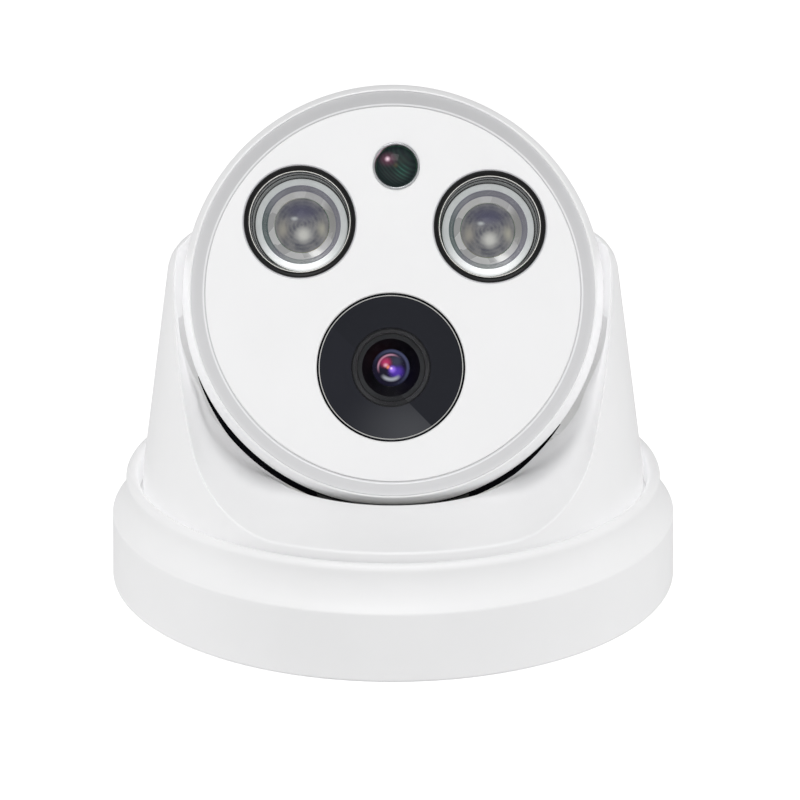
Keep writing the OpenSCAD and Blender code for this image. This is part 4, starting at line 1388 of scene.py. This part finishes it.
def lamp_parts():
    """Turned parts of a lamp: name, outline, steps, slot, finish and the start of the CAD node's name."""
    r, top = size("lamp_radius"), size("face_top")
    cap = r - 1.05
    tube = rounded([(r - 0.95, BOARD_TOP), (r - 0.15, BOARD_TOP), (r - 0.15, top + 0.1, 0.12),
                    (r - 0.35, top + 0.28, 0.12), (r - 0.8, top + 0.1, 0.15), (r - 0.95, top - 0.3, 0.1)])
    pane = rounded([(0, top - 1.3), (cap - 0.15, top - 1.3), (cap - 0.15, top - 0.3, 0.05),
                    (cap - 0.3, top - 0.2, 0.04), (0, top - 0.2)])
    collar = rounded([(7.5, BOARD_TOP), (8.7, BOARD_TOP), (8.7, 1.8, 0.25), (7.5, 1.8, 0.2)])
    liner = [(9.45, 9.2), (9.3, 9.1), (9.2, 8.6), (9.2, 5.6), (9.05, 5.4), (9.0, -1.6), (8.75, -1.65),
             (8.75, -2.45), (9.45, -2.45)]
    # Pale ring at the cap's edge: a painted highlight of the edge catching light
    trim = rounded([(cap - 0.13, top - 0.5), (cap, top - 0.5), (cap, top - 0.12, 0.03),
                    (cap - 0.13, top - 0.12, 0.03)])
    # Grey ring round the lamp's opening: painted shade of the opening's chamfer
    halo = rounded([(r - 0.12, top - 0.5), (r + 0.22, top - 0.5), (r + 0.22, top + 0.02, 0.04),
                    (r - 0.06, top - 0.08, 0.04)])
    cone = rounded([(5.25, BOARD_TOP), (7.5, BOARD_TOP), (7.5, 1.6, 0.1), (7.3, 1.6, 0.1),
                    (6.65, -1.0, 0.12), (5.25, -1.0, 0.12)])
    carrier = rounded([(0, BOARD_TOP), (CARRIER_R, BOARD_TOP), (CARRIER_R, CARRIER_TOP, 0.1),
                       (0, CARRIER_TOP)])
    crown = domed(CARRIER_R, BOARD_TOP + 0.95, BOARD_TOP + 2.85, 8.65, 10)
    return (("tube", tube, 128, "plastic_black", "rim_black", "lamp_holder_"),
            ("cap", pane, 128, "lamp_clear", "lamp_clear", "lamp_lens_"),
            ("frost", collar, 96, "collar_frosted", "frost_", "lamp_collar_"),
            ("liner", liner, 96, "plastic_black", "liner_", ""),
            ("trim", trim, 128, "reflector_silver", "trim_pale", ""),
            ("halo", halo, 128, "bezel_grey", "halo_grey", ""),
            ("cone", cone, 96, "reflector_silver", "cone_", "lamp_reflector_"),
            ("carrier", carrier, 64, "lamp_chip", "lamp_chip", "lamp_array_"),
            ("crown", crown, 64, "lamp_clear", "disc_", "lamp_dome_"))


def domed(reach, low, high, bend, steps):
    """Outline of a disc with a domed top: its radius, its two heights and the dome's radius."""
    start = math.degrees(math.acos(reach / bend))
    return [(0, low), (reach, low)] + arc(0, high - bend, bend, start, 90, steps)


def lamp_piece(side, place, name, outline, steps, slot, finish, node):
    """Turns and settles one part of a lamp; a finish or a node that ends in _ is the side's own."""
    piece = turned("lamp_" + name + "_" + side, outline, steps, place)
    nodes = [node + side] if node else []
    settle(piece, "head", slot, *nodes, finish=finish + side if finish.endswith("_") else finish)


def build_lamps():
    """Both lamps: black tube, clear cap, frosted collar, plated cone, carrier with dies, and dome."""
    *lower, crown = lamp_parts()
    for side, x in SIDES.items():
        place = at(x * LAMP_X, LAMP_Y)
        for part in lower:
            lamp_piece(side, place, *part)
        die = block("die", 1.6, 1.6, 0.3, 0.05, low=CARRIER_TOP)
        spots = [(a, b, 0) for a in (-1.2, 1.2) for b in (-1.2, 1.2)]
        dies = spread("lamp_dies_" + side, die, spots, place, size_spread=0.02)
        settle(dies, "head", "lamp_chip", finish="sensor_chip")
        lamp_piece(side, place, *crown)


def build_eye():
    """Light sensor: silver ring and dark dome."""
    top = size("face_top")
    place = at(0, EYE_Y)
    ring = rounded([(3.8, top - 4.5), (4.35, top - 4.5), (4.35, top + 0.4, 0.15), (4.1, top + 0.4, 0.1),
                    (3.8, top + 0.05, 0.1)])
    settle(turned("eye_bezel", ring, 96, place), "head", "reflector_silver", "eye_ring")
    dome = domed(3.75, top - 1.6, top + 0.5, 5.0, 12)
    settle(turned("eye_lens", dome, 96, place), "head", "eye_glass", "eye_dome")


# --- Lens, boards and fasteners ---

def thread_line(start, turns, pitch, root, crest):
    """Zigzag of a screw thread's outline, upwards from a height."""
    line = []
    for i in range(turns):
        line += [(root, start + i * pitch), (crest, start + i * pitch + pitch / 2)]
    return line


def build_lens():
    """Threaded lens barrel with its stepped front, its grip ribs and its front element."""
    place = at(0, LENS_Y)
    front = [(5.7, 1.9), (5.7, 2.0), (7.2, 2.0), (7.3, 2.1), (7.3, 6.5), (7.2, 6.6), (6.62, 6.6),
             (6.55, 6.5), (6.55, 6.1), (6.45, 6.0), (5.5, 6.0), (5.4, 5.9), (3.75, 4.1), (3.55, 3.95),
             (3.55, 2.4), (2.8, 2.4), (2.8, -4.4), (4.2, -4.4)]
    barrel = [(4.2, -7.0), (5.7, -7.0)] + thread_line(-6.9, 17, 0.5, 5.72, 5.98) + front
    settle(turned("lens_body", barrel, 128, place), "lens", "barrel_black", "lens_barrel")
    rib = block("lens_grip", 0.3, 0.5, 3.2, 0.08, low=2.7)
    settle(ringed(rib, 44, 7.33, 0, place), "lens", "barrel_black")
    glass = domed(3.55, 2.4, 4.4, 7.0, 12)
    settle(turned("lens_front", glass, 96, place), "lens", "objective_glass", "lens_glass")


def screw_part(head, high, shank, long):
    """A cross-recessed screw that points up, with its head at the origin."""
    pitch, root = 0.45, shank * 0.82
    turns = max(2, int((long - 0.4) / pitch))
    outline = rounded([(0, 0), (head * 0.72, 0.0, 0.1), (head, high * 0.55, 0.3), (head, high, 0.08),
                       (root, high)]) + thread_line(high + 0.2, turns, pitch, root, shank) + [
        (shank * 0.5, high + long - 0.05), (0, high + long)]
    wide, narrow, deep = head * 1.1, head * 0.24, high * 1.1
    arms = [block("arm", x, y, deep, 0, low=-deep / 2) for x, y in ((wide, narrow), (narrow, wide))]
    return cut(turned("screw", outline, 28), arms)


def round_spots(radius, z, turns):
    """Spots on a circle about Z, each turned to face outwards."""
    return [(radius * math.cos(math.radians(a)), radius * math.sin(math.radians(a)), z, a) for a in turns]


def build_screws():
    """All the screws: base, cradle, lamp board and main board."""
    posts = ((-28, -12), (28, -12), (-11, 28.4), (11, 28.4), (0, -30.9))
    corners = ((-16, -16.5), (16, -16.5), (-16, 2.6), (16, 2.6))
    for name, body, shape, spots, place in (
            ("base", "base", (1.7, 1.2, 1.0, 7.0), round_spots(BOSS_AT, 0.1, BOSS_TURNS), ROW),
            ("cradle", "turret", (2.1, 1.3, 1.0, 6.0), round_spots(CRADLE_AT, 11.9, CRADLE_TURNS), ROW),
            ("lamp", "head", (1.9, 1.2, 1.0, 8.0),
             [(x, y, -7.1, 17 * i) for i, (x, y) in enumerate(posts)], HEAD),
            ("main", "head", (1.8, 1.1, 1.0, 1.6),
             [(x, y, -21.7, 23 * i) for i, (x, y) in enumerate(corners)], HEAD)):
        screws = spread(name + "_screw_set", screw_part(*shape), spots, place)
        settle(screws, body, "steel", name + "_screws")


def build_boards():
    """Chips with their legs, and the small parts on the main board."""
    chips = []
    for x, y, w, d, h in ((0, -2, 14, 14, 1.3), (-10.5, 10.5, 9, 7, 1.0), (10, 10, 6, 6, 1.0)):
        spot = Matrix.Translation((x * MM, y * MM, 0))
        chips.append(block("board_packages", w, d, h - 0.15, 0.15, spot, low=BOARD_Z + 0.15))
    packages = joined(chips)
    packages.data.transform(HEAD)
    settle(packages, "head", "chip_black", "board_chips")
    leg = block("leg", 0.9, 0.24, 0.28, 0.06, low=BOARD_Z)
    spots = []
    for i in range(14):
        shift = -6.05 + i * 0.93
        spots += [(7.35, -2 + shift, 0, 0), (-7.35, -2 + shift, 0, 0), (shift, 5.35, 0, 90),
                  (shift, -9.35, 0, 90)]
    settle(spread("chip_legs", leg, spots, HEAD), "head", "steel")
    small = block("small", 1.1, 0.6, 0.5, 0.08, low=BOARD_Z)
    spots = [(-17.5 + 2.6 * (i % 14), -18.2 + 1.9 * (i // 14), 0, 90 * (i % 2)) for i in range(42)]
    spots = [s for s in spots if abs(abs(s[0]) - 16) > 3 and s[1] < -11]
    parts = spread("board_passives", small, spots, HEAD, size_spread=0.12, seed=11)
    settle(parts, "head", "cell_ceramic")


# --- Stage ---

LIGHT_SIZE = 500
LIGHTS = (("key", (-100, -420, 900), 2.5, True), ("left fill", (-900, -380, 360), 3.3, False),
          ("right fill", (900, -380, 360), 3.8, False))
CAMERA_PLACE, CAMERA_TILT = (1.33, -500, 211.9), 70.41
CAMERA_LENS, CAMERA_FILM = 123.7, 36.0


def build_stage():
    """Pale floor, even daylight, three soft lamps and the camera."""
    corners = ((-4000, -4000), (4000, -4000), (4000, 6000), (-4000, 6000))
    floor = new_object("floor", [Vector((x, y, -0.05)) * MM for x, y in corners], [(0, 1, 2, 3)])
    floor.data.materials.append(floor_finish())

    world = bpy.data.worlds.new("Daylight")
    bpy.context.scene.world = world
    world.use_nodes = True
    sky = world.node_tree.nodes["Background"]
    sky.inputs["Color"].default_value = (1.0, 1.0, 1.0, 1.0)
    sky.inputs["Strength"].default_value = bpy.context.scene.dome_colours.daylight

    for name, place, power, shadow in LIGHTS:
        light = bpy.data.lights.new(name, "AREA")
        light.size = LIGHT_SIZE * MM
        light.energy = power
        light.use_shadow = shadow
        lamp = bpy.data.objects.new(name, light)
        lamp.location = Vector(place) * MM
        lamp.rotation_euler = (Vector((0, 0, 40)) * MM - lamp.location).to_track_quat("-Z", "Y").to_euler()
        lamp.visible_glossy = shadow
        bpy.context.scene.collection.objects.link(lamp)

    camera = bpy.data.objects.new("camera", bpy.data.cameras.new("camera"))
    camera.location = Vector(CAMERA_PLACE) * MM
    camera.rotation_euler = (math.radians(CAMERA_TILT), 0, 0)
    camera.data.lens = CAMERA_LENS
    camera.data.sensor_width = CAMERA_FILM
    camera.data.clip_start = 0.01
    bpy.context.scene.collection.objects.link(camera)
    bpy.context.scene.camera = camera
    bpy.context.scene.view_settings.view_transform = "Standard"


# --- Operators, panel and registration ---

UNDOABLE = {"REGISTER", "UNDO"}


class DOME_OT_finishes(bpy.types.Operator):
    """Makes the node trees, the shared effects and the materials"""

    bl_idname = "dome.finishes"
    bl_label = "Finishes"
    bl_options = UNDOABLE

    def execute(self, context):
        prepare()
        return {"FINISHED"}


class DOME_OT_base(bpy.types.Operator):
    """Builds the base shell, its bosses, its ribs and its grommet"""

    bl_idname = "dome.base"
    bl_label = "Base"
    bl_options = UNDOABLE

    def execute(self, context):
        build_base()
        return {"FINISHED"}


class DOME_OT_turret(bpy.types.Operator):
    """Builds the turret shell with its scoop, the black strip of painted shade under the ball and the bosses"""

    bl_idname = "dome.turret"
    bl_label = "Turret"
    bl_options = UNDOABLE

    def execute(self, context):
        build_turret()
        return {"FINISHED"}


class DOME_OT_ball(bpy.types.Operator):
    """Builds the rear half of the ball"""

    bl_idname = "dome.ball"
    bl_label = "Ball back"
    bl_options = UNDOABLE

    def execute(self, context):
        build_ball()
        return {"FINISHED"}


class DOME_OT_face(bpy.types.Operator):
    """Builds the front shell, the bezel and the face plate"""

    bl_idname = "dome.face"
    bl_label = "Face"
    bl_options = UNDOABLE

    def execute(self, context):
        build_face()
        return {"FINISHED"}


class DOME_OT_window(bpy.types.Operator):
    """Builds the lens window, its edge and its hood"""

    bl_idname = "dome.window"
    bl_label = "Window"
    bl_options = UNDOABLE

    def execute(self, context):
        build_window()
        return {"FINISHED"}


class DOME_OT_lamps(bpy.types.Operator):
    """Builds both infrared lamps"""

    bl_idname = "dome.lamps"
    bl_label = "Lamps"
    bl_options = UNDOABLE

    def execute(self, context):
        build_lamps()
        return {"FINISHED"}


class DOME_OT_eye(bpy.types.Operator):
    """Builds the light sensor"""

    bl_idname = "dome.eye"
    bl_label = "Light sensor"
    bl_options = UNDOABLE

    def execute(self, context):
        build_eye()
        return {"FINISHED"}


class DOME_OT_lens(bpy.types.Operator):
    """Builds the lens barrel and its front element"""

    bl_idname = "dome.lens"
    bl_label = "Lens"
    bl_options = UNDOABLE

    def execute(self, context):
        build_lens()
        return {"FINISHED"}


class DOME_OT_screws(bpy.types.Operator):
    """Builds all the screws"""

    bl_idname = "dome.screws"
    bl_label = "Screws"
    bl_options = UNDOABLE

    def execute(self, context):
        build_screws()
        return {"FINISHED"}


class DOME_OT_boards(bpy.types.Operator):
    """Builds the chips and the small parts"""

    bl_idname = "dome.boards"
    bl_label = "Boards"
    bl_options = UNDOABLE

    def execute(self, context):
        build_boards()
        return {"FINISHED"}


class DOME_OT_stage(bpy.types.Operator):
    """Builds the floor, the lights and the camera"""

    bl_idname = "dome.stage"
    bl_label = "Stage"
    bl_options = UNDOABLE

    def execute(self, context):
        build_stage()
        return {"FINISHED"}


STEPS = [DOME_OT_finishes, DOME_OT_base, DOME_OT_turret, DOME_OT_ball,
         DOME_OT_face, DOME_OT_window, DOME_OT_lamps, DOME_OT_eye,
         DOME_OT_lens, DOME_OT_screws, DOME_OT_boards, DOME_OT_stage]


class DOME_PT_panel(bpy.types.Panel):
    """Panel that lists the camera's pieces, sizes and colours."""

    bl_label = "Dome camera"
    bl_idname = "DOME_PT_panel"
    bl_space_type = "VIEW_3D"
    bl_region_type = "UI"
    bl_category = "Dome camera"

    def draw(self, context):
        for step in STEPS:
            self.layout.operator(step.bl_idname)
        for group in (context.scene.dome_sizes, context.scene.dome_colours):
            for name in group.__annotations__:
                self.layout.prop(group, name)


CLASSES = [DomeSizes, DomeColours, *STEPS, DOME_PT_panel]


def register():
    """Registers the classes and their settings."""
    for made in CLASSES:
        bpy.utils.register_class(made)
    bpy.types.Scene.dome_sizes = bpy.props.PointerProperty(type=DomeSizes)
    bpy.types.Scene.dome_colours = bpy.props.PointerProperty(type=DomeColours)


def unregister():
    """Takes the classes and their settings away."""
    del bpy.types.Scene.dome_sizes
    del bpy.types.Scene.dome_colours
    for made in reversed(CLASSES):
        bpy.utils.unregister_class(made)


def main():
    """Builds every piece and the stage."""
    register()
    for step in STEPS:
        area, name = step.bl_idname.split(".")
        getattr(getattr(bpy.ops, area), name)()


if __name__ == "__main__":
    main()
